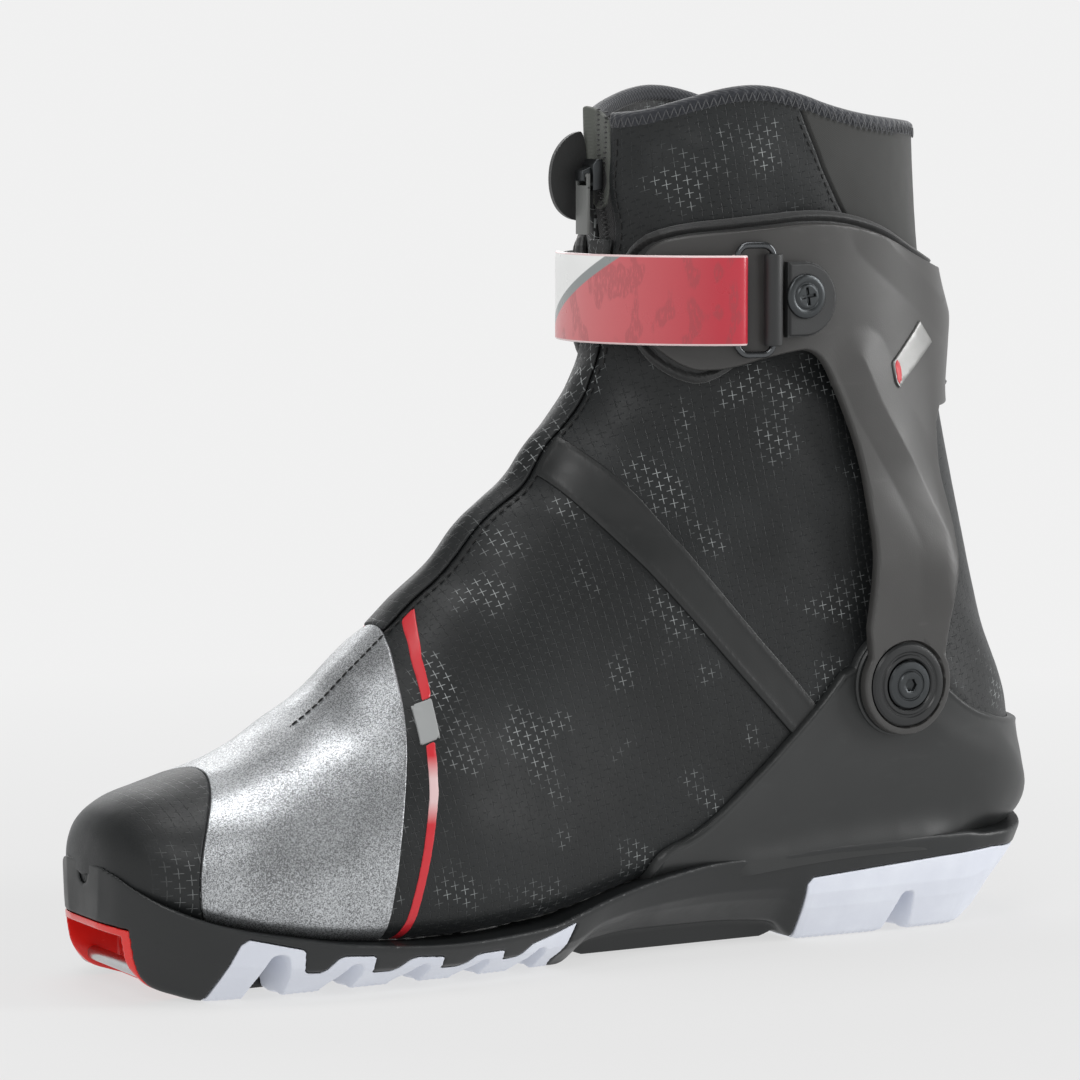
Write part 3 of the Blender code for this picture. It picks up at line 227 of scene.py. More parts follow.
class Patch:
    """Triangles whose corners carry a position, a normal, cloth coordinates and fields."""

    def __init__(self, values, triangles):
        self.values, self.triangles = values, triangles

    def copy(self):
        return Patch(dict(self.values), self.triangles)

    def cut(self, key, level):
        """Split every triangle that a field's level crosses."""
        v = self.values[key] - level
        v = np.where(np.abs(v) < 1e-5, 1e-5, v)
        above = (v > 0)[self.triangles]
        mixed = above.any(1) & ~above.all(1)
        tri, side = self.triangles[mixed], above[mixed]
        if not len(tri):
            return
        odd = np.where(side.sum(1) == 1, side.argmax(1), (~side).argmax(1))
        row = np.arange(len(tri))
        a, b, c = tri[row, odd], tri[row, (odd + 1) % 3], tri[row, (odd + 2) % 3]
        edges = np.sort(np.concatenate([np.stack([a, b], 1), np.stack([a, c], 1)]), axis=1)
        pairs, back = np.unique(edges, axis=0, return_inverse=True)
        back = back.ravel()
        first, second = v[pairs[:, 0]], v[pairs[:, 1]]
        share = first / (first - second)
        count = len(v)
        for name, value in self.values.items():
            w = share if value.ndim == 1 else share[:, None]
            new = value[pairs[:, 0]] * (1 - w) + value[pairs[:, 1]] * w
            self.values[name] = np.concatenate([value, new])
        self.values[key][count:] = level
        ab, ac = count + back[:len(tri)], count + back[len(tri):]
        self.triangles = np.concatenate([self.triangles[~mixed], np.stack([a, ab, ac], 1),
                                         np.stack([ab, b, c], 1), np.stack([ab, c, ac], 1)])

    def keep(self, key, level=0.0):
        """Keep what is above a field's level."""
        self.cut(key, level)
        self.triangles = self.triangles[self.values[key][self.triangles].mean(1) > level]
        used = np.unique(self.triangles)
        number = np.full(len(self.values[key]), -1)
        number[used] = np.arange(len(used))
        self.values = {k: v[used] for k, v in self.values.items()}
        self.triangles = number[self.triangles]

    def edge_corners(self):
        """Corners on the open boundary, and its directed edges."""
        t = self.triangles
        edges = np.concatenate([t[:, [0, 1]], t[:, [1, 2]], t[:, [2, 0]]])
        keyed = np.sort(edges, axis=1)
        _, index, counts = np.unique(keyed, axis=0, return_index=True, return_counts=True)
        return edges[index[counts == 1]]


class Sheet:
    """A grid of points with normals, from which panels are cut."""

    def __init__(self, points, wrap, cloth):
        self.points, self.wrap, self.cloth = points, wrap, cloth
        self.normals = grid_normals(points, wrap)
        if wrap:
            self.normals[0] = (-1, 0, 0)

    def slopes(self, values):
        """Changes of a grid of values from row to row, and from column to column."""
        if self.wrap:
            across = (np.roll(values, -1, 1) - np.roll(values, 1, 1)) / 2
        else:
            across = np.gradient(values, axis=1)
        return np.gradient(values, axis=0), across

    def field(self, flat):
        """Turn a field into distances on the surface, near where it is zero."""
        along, around = self.slopes(self.points)
        ft, fs = self.slopes(flat)
        e, g, h = (along ** 2).sum(-1), (around ** 2).sum(-1), (along * around).sum(-1)
        slope = (g * ft ** 2 - 2 * h * ft * fs + e * fs ** 2) / np.maximum(e * g - h * h, 1e-9)
        return flat / np.sqrt(np.clip(slope, .01, 4))

    def patch(self, **fields):
        """The whole grid as a patch, with its fields as corner values."""
        rows, cols = self.points.shape[:2]
        span = cols if self.wrap else cols - 1
        i, j = np.meshgrid(np.arange(rows - 1), np.arange(span), indexing="ij")
        a, b = (i * cols + j).ravel(), (i * cols + (j + 1) % cols).ravel()
        c, d = b + cols, a + cols
        alive = np.ones(len(a), bool)
        for value in fields.values():
            flat = value.ravel()
            alive &= np.maximum.reduce([flat[a], flat[b], flat[c], flat[d]]) > 0
        a, b, c, d = a[alive], b[alive], c[alive], d[alive]
        values = {"p": self.points.reshape(-1, 3), "n": self.normals.reshape(-1, 3),
                  "cloth": self.cloth.reshape(-1, 3)}
        values.update({k: v.ravel() for k, v in fields.items()})
        return Patch(values, np.concatenate([np.stack([a, b, c], 1), np.stack([a, c, d], 1)]))


def make_sheet(t, s, soft):
    """The last's surface as a sheet, with or without the fabric's folds.

    The cloth lies flat in side view at mid side, and is rolled out from there along sections.
    """
    points = last_grid(t, s)
    half = np.linalg.norm(np.diff(points, axis=1), axis=-1).sum(1) / 2
    middle = points[:, len(s) // 4]
    back = points[:, 0] - points[:, len(s) // 2]
    back /= np.linalg.norm(back, axis=1, keepdims=True)
    past = (np.abs(s)[None, :] - .5) * half[:, None]
    cloth = middle[:, None] + back[:, None] * past[..., None]
    cloth = np.stack([cloth[..., 0], cloth[..., 2], cloth[..., 1] * 0], axis=-1)
    if t[0] == 0:
        points[0] = points[0].mean(axis=0)
    if soft:
        lift = fabric_ripple(points.reshape(-1, 3)).reshape(points.shape[:2])
        points = points + grid_normals(points, True) * lift[..., None]
    return Sheet(points, True, cloth)


def polyline(points, closed=False, round_off=2):
    """Points joined by a line whose corners are softened by repeated corner cutting."""
    line = np.asarray(points, float)
    for _ in range(round_off):
        after = np.roll(line, -1, axis=0) if closed else line[1:]
        before = line if closed else line[:-1]
        cut = np.stack([before * .75 + after * .25, before * .25 + after * .75], 1)
        cut = cut.reshape(-1, line.shape[1])
        line = cut if closed else np.concatenate([line[:1], cut[1:-1], line[-1:]])
    return line


def circle_part(x, z, radius, start, end, count):
    """Points along part of a circle, between two angles in degrees."""
    return [(x + radius * math.cos(a), z + radius * math.sin(a))
            for a in np.radians(np.linspace(start, end, count))]


def line_distance(x, z, line):
    """Distance from a side-view line."""
    best = np.full(x.shape, 1e9)
    for (ax, az), (bx, bz) in zip(line, line[1:]):
        ux, uz = bx - ax, bz - az
        along = np.clip(((x - ax) * ux + (z - az) * uz) / max(ux * ux + uz * uz, 1e-12), 0, 1)
        best = np.minimum(best, np.hypot(x - ax - along * ux, z - az - along * uz))
    return best


def outline_field(x, z, outline, round_off=0):
    """Distance inside a closed outline, negative outside it."""
    line = polyline(outline, True, round_off)
    line = np.concatenate([line, line[:1]])
    inside = np.zeros(x.shape, bool)
    for (ax, az), (bx, bz) in zip(line, line[1:]):
        if az != bz:
            inside ^= ((az > z) != (bz > z)) & (x < (bx - ax) * (z - az) / (bz - az) + ax)
    distance = line_distance(x, z, line)
    return np.where(inside, distance, -distance)


def above_line(x, z, line):
    """Height above a side-view line."""
    xs, zs = polyline(line, round_off=3).T
    return z - np.interp(x, xs, zs)


def rounded(distance, radius):
    """Share of the full height at a distance inside a rounded edge."""
    inside = np.clip(distance / radius, 0, 1)
    return np.sqrt(np.clip(1 - (1 - inside) ** 2, 0, 1))


def shell(name, patch, key, depth, edge, look, middle=None, extra=None, levels=(), move=None,
          smooth=40):
    """Closed panel between two depths, rounded towards where a field is zero."""
    part = patch.copy()
    part.keep(key)
    for share in (.08, .3, .65, 1):
        part.cut(key, share * edge)
    for other, level in levels:
        part.cut(other, level)
    d0, d1 = depth
    middle = d0 if middle is None else middle
    v = part.values
    share = rounded(v[key], edge)
    top = middle + (d1 - middle) * share
    if extra is not None:
        top = top + extra(v) * share
    low = middle + (d0 - middle) * share
    rim = part.edge_corners()
    on_rim = np.zeros(len(share), bool)
    on_rim[rim.ravel()] = True
    on_edge = on_rim & (v[key] < 1e-4)
    top = np.where(on_edge, middle, top)
    outer = v["p"] + v["n"] * top[:, None]
    inner = v["p"] + v["n"] * low[:, None]
    if move:
        outer, inner = move(outer, top), move(inner, low)
    count = len(outer)
    number = np.where(on_edge, np.arange(count), count + np.cumsum(~on_edge) - 1)
    points = np.concatenate([outer, inner[~on_edge]])
    flipped = number[part.triangles[:, ::-1]]
    walls = []
    for a, b in rim:
        if not (on_edge[a] and on_edge[b]):
            walls += [(a, number[a], number[b]), (a, number[b], b)]
    faces = np.concatenate([part.triangles, flipped, np.array(walls, int).reshape(-1, 3)])
    faces = faces[(faces[:, 0] != faces[:, 1]) & (faces[:, 1] != faces[:, 2])
                  & (faces[:, 0] != faces[:, 2])]
    cloth = np.concatenate([v["cloth"], v["cloth"][~on_edge]])
    return make_mesh(name, points, faces, look, smooth, {"cloth": cloth})


# ---------------------------------------------------------------- looks

class Look:
    """A node material, with short ways to add nodes to it. Sizes are in millimetres."""

    def __init__(self, name, colour, roughness, metallic=0.0):
        self.material = bpy.data.materials.new(name)
        self.material.use_nodes = True
        self.tree = self.material.node_tree
        self.shader = self.tree.nodes["Principled BSDF"]
        self.place = self.scale(self.add("TexCoord").outputs["Object"], 1000.0)
        self.set({"Base Color": colour, "Roughness": roughness, "Metallic": metallic})

    def put(self, socket, value):
        """Link a socket, or set its value; a colour of three numbers is opaque."""
        if isinstance(value, bpy.types.NodeSocket):
            self.tree.links.new(value, socket)
        elif isinstance(value, tuple) and len(value) == 3 and socket.type == "RGBA":
            socket.default_value = (*value, 1)
        else:
            socket.default_value = value

    def add(self, kind, inputs=None, **settings):
        """A new shader node, with its inputs and settings."""
        node = self.tree.nodes.new("ShaderNode" + kind)
        for key, value in settings.items():
            setattr(node, key, value)
        for key, value in (inputs or {}).items():
            self.put(node.inputs[key], value)
        return node

    def set(self, inputs):
        """Set the shader's inputs, and give the material."""
        for key, value in inputs.items():
            self.put(self.shader.inputs[key], value)
        return self.material

    def scale(self, vector, factor):
        return self.add("VectorMath", {0: vector, "Scale": factor}, operation="SCALE").outputs[0]

    def axes(self, vector):
        return self.add("SeparateXYZ", {0: vector}).outputs

    def do(self, operation, *values):
        """A Math node's result."""
        return self.add("Math", dict(enumerate(values)), operation=operation).outputs[0]

    def step(self, value, low, high, start=0.0, end=1.0):
        """A value mapped from one range to another, and held at the ends."""
        return self.add("MapRange", {0: value, 1: low, 2: high, 3: start, 4: end}).outputs[0]

    def noise(self, size, detail=2.0, at=None, stretch=(1, 1, 1)):
        """Noise whose features are about a size, stretched along the axes."""
        scaled = self.add("VectorMath", {0: at or self.place, 1: tuple(1 / (size * k) for k in
                          stretch)}, operation="MULTIPLY").outputs[0]
        return self.add("TexNoise", {"Vector": scaled, "Scale": 1.0, "Detail": detail}
                        ).outputs["Fac"]

    def mix(self, share, first, second):
        """A colour between two others."""
        node = self.add("Mix", data_type="RGBA")
        for socket, value in ((node.inputs[0], share), (node.inputs[6], first),
                              (node.inputs[7], second)):
            self.put(socket, value)
        return node.outputs[2]

    def bump(self, height, depth, normal=None):
        """Normal of a surface raised by a height from 0 to 1, over another normal."""
        inputs = {"Strength": 1.0, "Distance": depth * MM, "Height": height}
        if normal:
            inputs["Normal"] = normal
        return self.add("Bump", inputs).outputs["Normal"]

    def cloth(self):
        """Cloth coordinates in millimetres."""
        return self.add("Attribute", attribute_name="cloth").outputs["Vector"]


def shade(colour, factor, lift=0.0):
    """A colour made lighter or darker."""
    return tuple(min(1, c * factor + lift) for c in colour)


def cross_mask(look, across, up, arms, tilt, width=.15):
    """Small embossed crosses, staggered from column to column of the cloth."""
    turned = look.add("Mapping", {"Vector": look.cloth(), "Rotation": (0, 0, math.radians(tilt))}
                      ).outputs[0]
    crosses = []
    for shift in (0.0, .5):
        axes = look.axes(turned)
        off = []
        for axis, pitch in ((axes[0], across), (axes[1], up)):
            cell = look.do("FRACT", look.do("ADD", look.do("DIVIDE", axis, pitch), shift))
            off.append(look.do("MULTIPLY", look.do("ABSOLUTE", look.do("SUBTRACT", cell, .5)),
                               pitch))
        for (near, far), arm in zip(((off[1], off[0]), (off[0], off[1])), arms):
            crosses.append(look.do("MULTIPLY", look.step(near, width, width * .35),
                                   look.step(far, arm + .15, arm - .1)))
    first = look.do("MAXIMUM", crosses[0], crosses[1])
    return look.do("MAXIMUM", first, look.do("MAXIMUM", crosses[2], crosses[3]))


def softshell_look(name, base, painted_glint, roughness, tilt, shine=(.55, .68), front=-400):
    """Matt cloth with embossed crosses behind a distance along X, lightened in random patches: a
    painted glint.
    """
    look = Look(name, base, roughness)
    cross = cross_mask(look, 5.6, 3.8, (1.2, 1.35), tilt)
    x = look.axes(look.place)[0]
    cross = look.do("MULTIPLY", cross, look.step(x, front - 5, front + 5))
    # Painted glint: random patches where the crosses get a lighter colour, standing in for light
    # they catch; there they are also less rough.
    painted_glint_patches = look.step(look.noise(19, 2.5), *shine)
    gloss_and_painted_glint = look.do("MULTIPLY", cross, look.do("ADD", look.do("MULTIPLY", painted_glint_patches, .93), .03))
    grain = look.noise(.5, 3)
    dirt = look.step(look.noise(40, 3), .3, .7, .7, 1.35)
    tone = look.mix(grain, shade(base, .75), shade(base, 1.3))
    tone = look.scale(tone, dirt)
    # Base colour: the cloth's tone, with the crosses mixed towards the painted glint colour.
    return look.set({"Base Color": look.mix(gloss_and_painted_glint, tone, painted_glint),
                     "Roughness": look.do("SUBTRACT", look.step(grain, .3, .7, roughness - .05,
                                          roughness + .06), look.do("MULTIPLY", gloss_and_painted_glint, .2)),
                     "Specular IOR Level": .34,
                     "Sheen Weight": .05, "Sheen Roughness": .4, "Sheen Tint": (.8, .85, .9),
                     "Normal": look.bump(cross, -.16, look.bump(grain, .05))})


def plastic_look(name, base, roughness, grain=.02, size=.35, vary=.06, coat=0.0):
    """Moulded plastic: fine spark grain, slow changes of gloss, faint rubbing."""
    look = Look(name, base, roughness)
    fine, slow = look.noise(size, 2), look.noise(22, 3)
    scuff = look.step(look.noise(9, 5, stretch=(1, 1, .3)), .62, .75, 0, .25)
    tone = look.mix(slow, shade(base, .82), shade(base, 1.2))
    return look.set({"Base Color": look.mix(scuff, tone, shade(base, 1.5, .01)),
                     "Roughness": look.do("ADD", look.step(slow, .3, .7, roughness - vary,
                                          roughness + vary), look.do("MULTIPLY", scuff, .3)),
                     "Coat Weight": coat, "Coat Roughness": .2,
                     "Normal": look.bump(fine, grain, look.bump(slow, .12))})


def rubber_look(name, base, roughness, grain=.03):
    """Rubber with a fine grain and traces of dust."""
    look = Look(name, base, roughness)
    fine, dust = look.noise(.3, 3), look.step(look.noise(14, 5), .45, .75, 0, .35)
    return look.set({"Base Color": look.mix(dust, base, shade(base, 1.25, .004)),
                     "Roughness": look.step(dust, 0, .35, roughness - .04, roughness + .12),
                     "Normal": look.bump(fine, grain, look.bump(look.noise(5, 2), .05))})


def fabric_look(name, base, pitch, depth, roughness=.85, sheen=.3, tone=1.4):
    """Knitted or woven cloth: fine ribs both ways, with a soft sheen."""
    look = Look(name, base, roughness)
    axes = look.axes(look.scale(look.place, 2 * math.pi / pitch))
    ribs = look.do("MULTIPLY", look.do("SINE", look.do("ADD", axes[0], axes[1])),
                   look.do("SINE", axes[2]))
    ribs = look.step(ribs, -1, 1)
    fuzz = look.noise(.25, 3)
    cloth = look.mix(look.do("MULTIPLY", ribs, fuzz), base, shade(base, tone))
    return look.set({"Base Color": cloth,
                     "Sheen Weight": sheen, "Sheen Roughness": .5,
                     "Normal": look.bump(ribs, depth, look.bump(fuzz, depth * .5))})


def silver_look():
    """Silver film with coarse dark and white grains."""
    look = Look("silver_film", (.4, .41, .42), .36, .85)
    fine, coarse = look.noise(.3, 2), look.noise(.6, 2)
    grain = look.do("ADD", look.do("MULTIPLY", fine, .6), look.do("MULTIPLY", coarse, .4))
    cloudy = look.step(look.noise(16, 3), .3, .7, -.04, .04)
    light = look.step(look.do("ADD", grain, cloudy), .4, .62)
    return look.set({"Base Color": look.mix(light, (.17, .175, .18), (.62, .64, .66)),
                     "Roughness": look.step(light, 0, 1, .46, .32),
                     "Normal": look.bump(fine, .05, look.bump(look.noise(14, 2), .3))})


def metal_look(name, base, roughness, brush=(1, 1, .08)):
    """Brushed metal with slightly worn places."""
    look = Look(name, base, roughness, 1.0)
    lines = look.noise(.25, 3, stretch=brush)
    wear = look.noise(3, 4)
    return look.set({"Base Color": look.mix(wear, shade(base, .8), base),
                     "Roughness": look.step(lines, .3, .7, roughness - .07, roughness + .1),
                     "Normal": look.bump(lines, .008)})


def strap_look():
    """Coated strap: red fading towards the front, a white corner, and generic brush marks."""
    look = Look("printed_strap", (.6, .05, .08), .32)
    axes = look.axes(look.cloth())
    run, height = axes[0], axes[1]
    fade = look.step(run, 22, 66)
    red = look.mix(fade, (.5, .02, .04), (.64, .17, .18))
    wave = look.noise(5.5, 1, look.cloth(), (1, 2.2, 1))
    marks = look.do("MULTIPLY", look.step(wave, .53, .57), look.step(look.noise(
        1.2, 2, look.cloth(), (.5, 2, 1)), .35, .5))
    tone = look.mix(look.do("MULTIPLY", marks, .3), red, (.2, .05, .055))
    diagonal = look.do("SUBTRACT", height, look.do("ADD", 13.0, look.do(
        "MULTIPLY", look.do("SUBTRACT", 70.0, run), .6)))
    grey = look.step(diagonal, -.15, .15)
    white = look.step(diagonal, 2.9, 3.2)
    tone = look.mix(grey, tone, (.26, .28, .28))
    tone = look.mix(white, tone, (.86, .87, .86))
    border = look.step(look.do("ABSOLUTE", look.do("SUBTRACT", height, 12.75)), 12.1, 12.25)
    tone = look.mix(border, tone, (.8, .62, .62))
    return look.set({"Base Color": tone, "Roughness": look.step(look.noise(6, 3), .3, .7, .26, .4),
                     "Coat Weight": .25, "Coat Roughness": .25,
                     "Normal": look.bump(look.noise(.6, 3), .03)})


def stripe_look():
    """Red film that pales for a short length under its tag."""
    look = Look("red_film", (.56, .02, .03), .38)
    z = look.axes(look.place)[2]
    pale = look.do("MULTIPLY", look.step(z, 46, 52), look.step(z, 64, 58))
    return look.set({"Base Color": look.mix(pale, (.56, .02, .03), (.7, .5, .5)),
                     "Normal": look.bump(look.noise(.35, 2), .01)})


LOOKS = {
    # The second colour of both softshell looks is the painted glint of their crosses.
    "softshell": softshell_look("softshell", (.0095, .0108, .0112), (.36, .38, .38), .47, -9),
    "toe_cap": softshell_look("toe_cap_film", (.016, .0175, .018), (.2, .21, .21), .45, -4,
                              (.42, .7), -138),
    "gusset": fabric_look("gusset_cloth", (.075, .08, .07), 1.0, .04, .6, .2),
    "lining": fabric_look("lining_cloth", (.05, .055, .05), .8, .05),
    "silver": silver_look(),
    "band": plastic_look("bonded_tape", (.0075, .0085, .0085), .42, .015, .6, .05),
    "heel": plastic_look("heel_plastic", (.02, .0215, .0215), .4, .02),
    "cuff": plastic_look("cuff_plastic", (.046, .045, .0435), .38, .022),
    "padding": fabric_look("padding_cloth", (.011, .0115, .0115), .55, .03, .5, .2),
    "sole": rubber_look("sole_rubber", (.013, .0145, .015), .42),
    "tread": rubber_look("tread_rubber", (.72, .75, .83), .45, .02),
    "red": plastic_look("red_plastic", (.72, .02, .015), .25, .008, .5, .05, .4),
    "steel": metal_look("steel", (.62, .63, .64), .26),
    "wire": metal_look("wire", (.11, .115, .12), .24),
    "dark_metal": metal_look("dark_metal", (.07, .075, .078), .34),
    "strap": strap_look(),
    "webbing": fabric_look("webbing", (.02, .02, .021), .9, .06, .8),
    "neoprene": fabric_look("neoprene", (.028, .0285, .027), .62, .035, .9, .25),
    "binding": fabric_look("collar_tape", (.0085, .0105, .016), 1.5, .12, .7, .45),
    "thread": fabric_look("thread", (.016, .017, .018), .4, .03, .6),
    "thread_dark": fabric_look("thread_dark", (.004, .004, .004), .4, .03, .8, .1),
    "thread_grey": fabric_look("thread_grey", (.06, .062, .066), .4, .03, .7),
    "zip": fabric_look("zip_tape", (.009, .009, .0095), .8, .06, .7),
    "black": plastic_look("black_plastic", (.012, .013, .0135), .36, .018),
    "matt": plastic_look("matt_plastic", (.02, .021, .0215), .48, .03),
    "grey": plastic_look("grey_plastic", (.14, .145, .14), .42, .02),
    "felt": fabric_look("insole_felt", (.11, .11, .12), 1.1, .08),
    "board": plastic_look("lasting_board", (.2, .17, .12), .7, .05, .8),
    "badge": metal_look("badge_metal", (.27, .27, .265), .42, (1, .1, 1)),
    "stripe": stripe_look(),
    "tag": plastic_look("grey_film", (.3, .31, .31), .4, .01),
    "glue": rubber_look("glue_line", (.16, .165, .16), .5),
}


# ---------------------------------------------------------------- sheets and fields

def even_t(first, last, spacing):
    """Values of t whose rows are nowhere further apart than the spacing."""
    t = np.arange(first, last + .001, .01)
    rows = last_grid(t, np.array([0, .25, .5, .75, 1.0]))
    run = np.linalg.norm(np.diff(rows, axis=0), axis=-1).max(1).cumsum()
    run = np.concatenate([[0], run])
    return np.interp(np.linspace(0, run[-1], int(run[-1] / spacing) + 1), run, t)


FINE = 1.0
SPACING = 1.35 * FINE
AROUND = np.linspace(-1, 1, int(280 / FINE), endpoint=False)
AHEAD = np.abs(AROUND)[None, :] < .3      # columns on the front or top
TS = even_t(0, LAST_TOP, SPACING)
SOFT = make_sheet(TS, AROUND, True)
HARD = make_sheet(even_t(6, LAST_TOP, SPACING), AROUND, False)
FAR_INSIDE, FAR_OUTSIDE = 50, -5          # fields where an edge doesn't cut at all
FOLD = ((39.4 * MM, 0, 103 * MM), (65.2 * MM, 0, 152.7 * MM))   # where the ankle bends


def axes_of(sheet):
    """Grids of x, y and z of a sheet's points."""
    return sheet.points[..., 0], sheet.points[..., 1], sheet.points[..., 2]


def side_outline(sheet, outline, round_off=0):
    """Field of a closed side-view outline."""
    x, _, z = axes_of(sheet)
    return sheet.field(outline_field(x, z, outline, round_off))


def one_side(sheet, sign, beyond=0.0):
    """Field of one side of the boot, from a distance off its middle."""
    return sheet.field(sign * sheet.points[..., 1] - beyond)


def over_rim(x, z):
    """Height over the sole's rim."""
    xs = np.concatenate([[-170], SOLE[:, 0], [170]])
    zs = np.concatenate([[SOLE[0, 2]], SOLE[:, 2], [SOLE[-1, 2]]])
    return z - np.interp(x, xs, zs)


def rim_height(sheet):
    """Heights of a sheet's points over the sole's rim."""
    return over_rim(sheet.points[..., 0], sheet.points[..., 2])


def least(*fields):
    """Least of several fields at each place."""
    return np.minimum.reduce(np.broadcast_arrays(*fields))


SEAM = [(50, 262), (66, 224), (78, 204), (92, 180), (110, 150)]
BEHIND_SEAM = SEAM + [(200, 130), (200, 262)]


def make_skin():
    """Softshell skin from the toe to the collar, open along the zip."""
    x, y, z = axes_of(SOFT)
    below_rim = SOFT.field(-(above_line(x, z, COLLAR_RIM) + 1.5))
    slot = np.maximum(SOFT.field(np.abs(y) - SLOT_HALF), ZIP_END_X - x)
    slot = np.where(AHEAD, slot, FAR_INSIDE)
    neoprene = least(side_outline(SOFT, BEHIND_SEAM), SOFT.field(above_line(x, z, SHAFT_BOTTOM)))
    patch = SOFT.patch(skin=least(below_rim, slot, -neoprene))
    skin = shell("softshell_skin", patch, "skin", (SKIN_DEPTH, 0), 1.1, "softshell",
                 SKIN_MIDDLE)
    place(skin, ("foot", "cuff"), ("upper_foot", "ankle_sleeve", "shaft_panel_lateral",
                                   "shaft_panel_medial"), FOLD)
    patch = SOFT.patch(neo=least(neoprene - .15, below_rim))
    back = shell("neoprene_back", patch, "neo", (SKIN_DEPTH, .1), .8, "neoprene", SKIN_MIDDLE)
    place(back, "cuff", ("collar_back",))


def make_collar():
    """Elastic tape folded over the collar's edge."""
    x, y, z = axes_of(SOFT)
    high = above_line(x, z, COLLAR_RIM)
    tape = least(SOFT.field(-high), SOFT.field(high + RIM_BAND))
    slot = np.where(AHEAD, SOFT.field(np.abs(y) - SLOT_HALF - .1), FAR_INSIDE)
    patch = SOFT.patch(tape=least(tape, slot))
    wobble = lambda v: .16 * np.sin(v["cloth"][:, 0] * 2.2) * (v["tape"] > .8)
    tape = shell("collar_tape", patch, "tape", (-3.5, .55), 1.7, "binding", middle=-1.5,
                 extra=wobble)
    place(tape, "cuff", ("collar_binding",))


VAMP_REAR = [(-61, 98), (-65, 88), (-68, 73), (-73, 56), (-78, 38), (-82, 17), (-82.5, 8)]


def make_facings():
    """Toe cap, silver vamp, red stripe and its tag."""
    x, y, z = axes_of(SOFT)
    on_sole = SOFT.field(rim_height(SOFT) + 3.0)
    behind_cap = SOFT.field(x + 118 + 15 * (y / 34) ** 2)
    patch = SOFT.patch(cap=least(on_sole, -behind_cap))
    cap = shell("toe_cap_film", patch, "cap", (.05, .9), .5, "toe_cap")
    place(cap, "foot", ("toe_cap",))
    outline = [*polyline(VAMP_REAR), (-175, 8), (-175, 130), (-61, 130)]
    flap = np.where(x > -62, SOFT.field(np.abs(y) - 7.2), FAR_INSIDE)
    patch = SOFT.patch(vamp=least(on_sole, behind_cap - .25, side_outline(SOFT, outline), flap))
    vamp = shell("silver_vamp", patch, "vamp", (.05, .8), .4, "silver")
    place(vamp, "foot", ("vamp_panel",))
    stripe = [(-56, 102), (-59, 95), (-61, 89), (-62, 79), (-65, 66), (-66.5, 54), (-70.5, 39),
              (-77, 16), (-78, 8)]
    back = [(x + 2.6, z) for x, z in stripe[::-1]]
    line = outline_field(x, z, stripe + back)
    tag = [(-66.3, 66.6), (-65.5, 76.8), (-59.6, 78.6), (-60.4, 68.4)]
    label = side_outline(SOFT, tag)
    for side, sign in SIDES:
        one = one_side(SOFT, sign, 7.3)
        patch = SOFT.patch(s=least(SOFT.field(line), one, on_sole, -label - .3))
        red = shell("red_stripe_" + side, patch, "s", (-.05, .22), .25, "stripe")
        place(red, "foot")
        plate = shell("stripe_tag_" + side, SOFT.patch(s=least(label, one)), "s", (-.05, .5), .35,
                      "tag")
        place(plate, "foot")


def make_bands():
    """Bonded tapes from the heel counter over the instep, with a raised dotted edge."""
    upper = [(-12, 153), (-6, 147), (9, 133), (23, 114), (40, 93), (56, 76), (68, 62)]
    lower = [(62, 52), (53, 62), (34, 82), (16, 103), (-3, 125), (-16, 139), (-22, 145)]
    band = side_outline(SOFT, upper + lower, 2)

    def raised(v):
        dots = .8 + .2 * np.sin(v["cloth"][:, 1] * 3.3)
        return .16 * np.exp(-((v["band"] - 1.6) / .5) ** 2) * dots

    for side, sign in SIDES:
        patch = SOFT.patch(band=least(band, one_side(SOFT, sign, 6.2)))
        tape = shell("instep_tape_" + side, patch, "band", (.03, .75), .45, "band",
                     extra=raised, levels=(("band", 1.2), ("band", 2.0)))
        place(tape, ("foot", "cuff"), ("instep_band_" + side,), FOLD)


def make_flap():
    """Storm flap over the zip, from the toe to just under the strap's top."""
    x, y, z = axes_of(SOFT)
    side = least(SOFT.field(y + 5.2), SOFT.field(6.8 - y))
    ends = least(x + 62, SOFT.field(203.5 - z))
    flap = np.where(AHEAD, least(side, ends), FAR_OUTSIDE)
    cover = shell("storm_flap", SOFT.patch(flap=flap), "flap", (.25, 1.15), .55, "softshell", .6)
    place(cover, ("foot", "cuff"), ("zip_flap",), FOLD)


def heel_move(points, depth):
    """Bring the counter's lower edge out to the sole's rim."""
    x, y, z = points.T
    near = (1 - smoothstep(-1, 14, over_rim(x, z))) * (1 - smoothstep(98, 140, x)) \
        * smoothstep(6, 40, x)
    limit = np.interp(x, SOLE[:, 0], SOLE[:, 3]) - .3 - np.clip(2.6 - depth, 0, 2.4)
    out = np.maximum(limit - np.abs(y), 0) * near * (np.abs(y) > 12)
    return np.stack([x, y + np.sign(y) * out, z], axis=1)


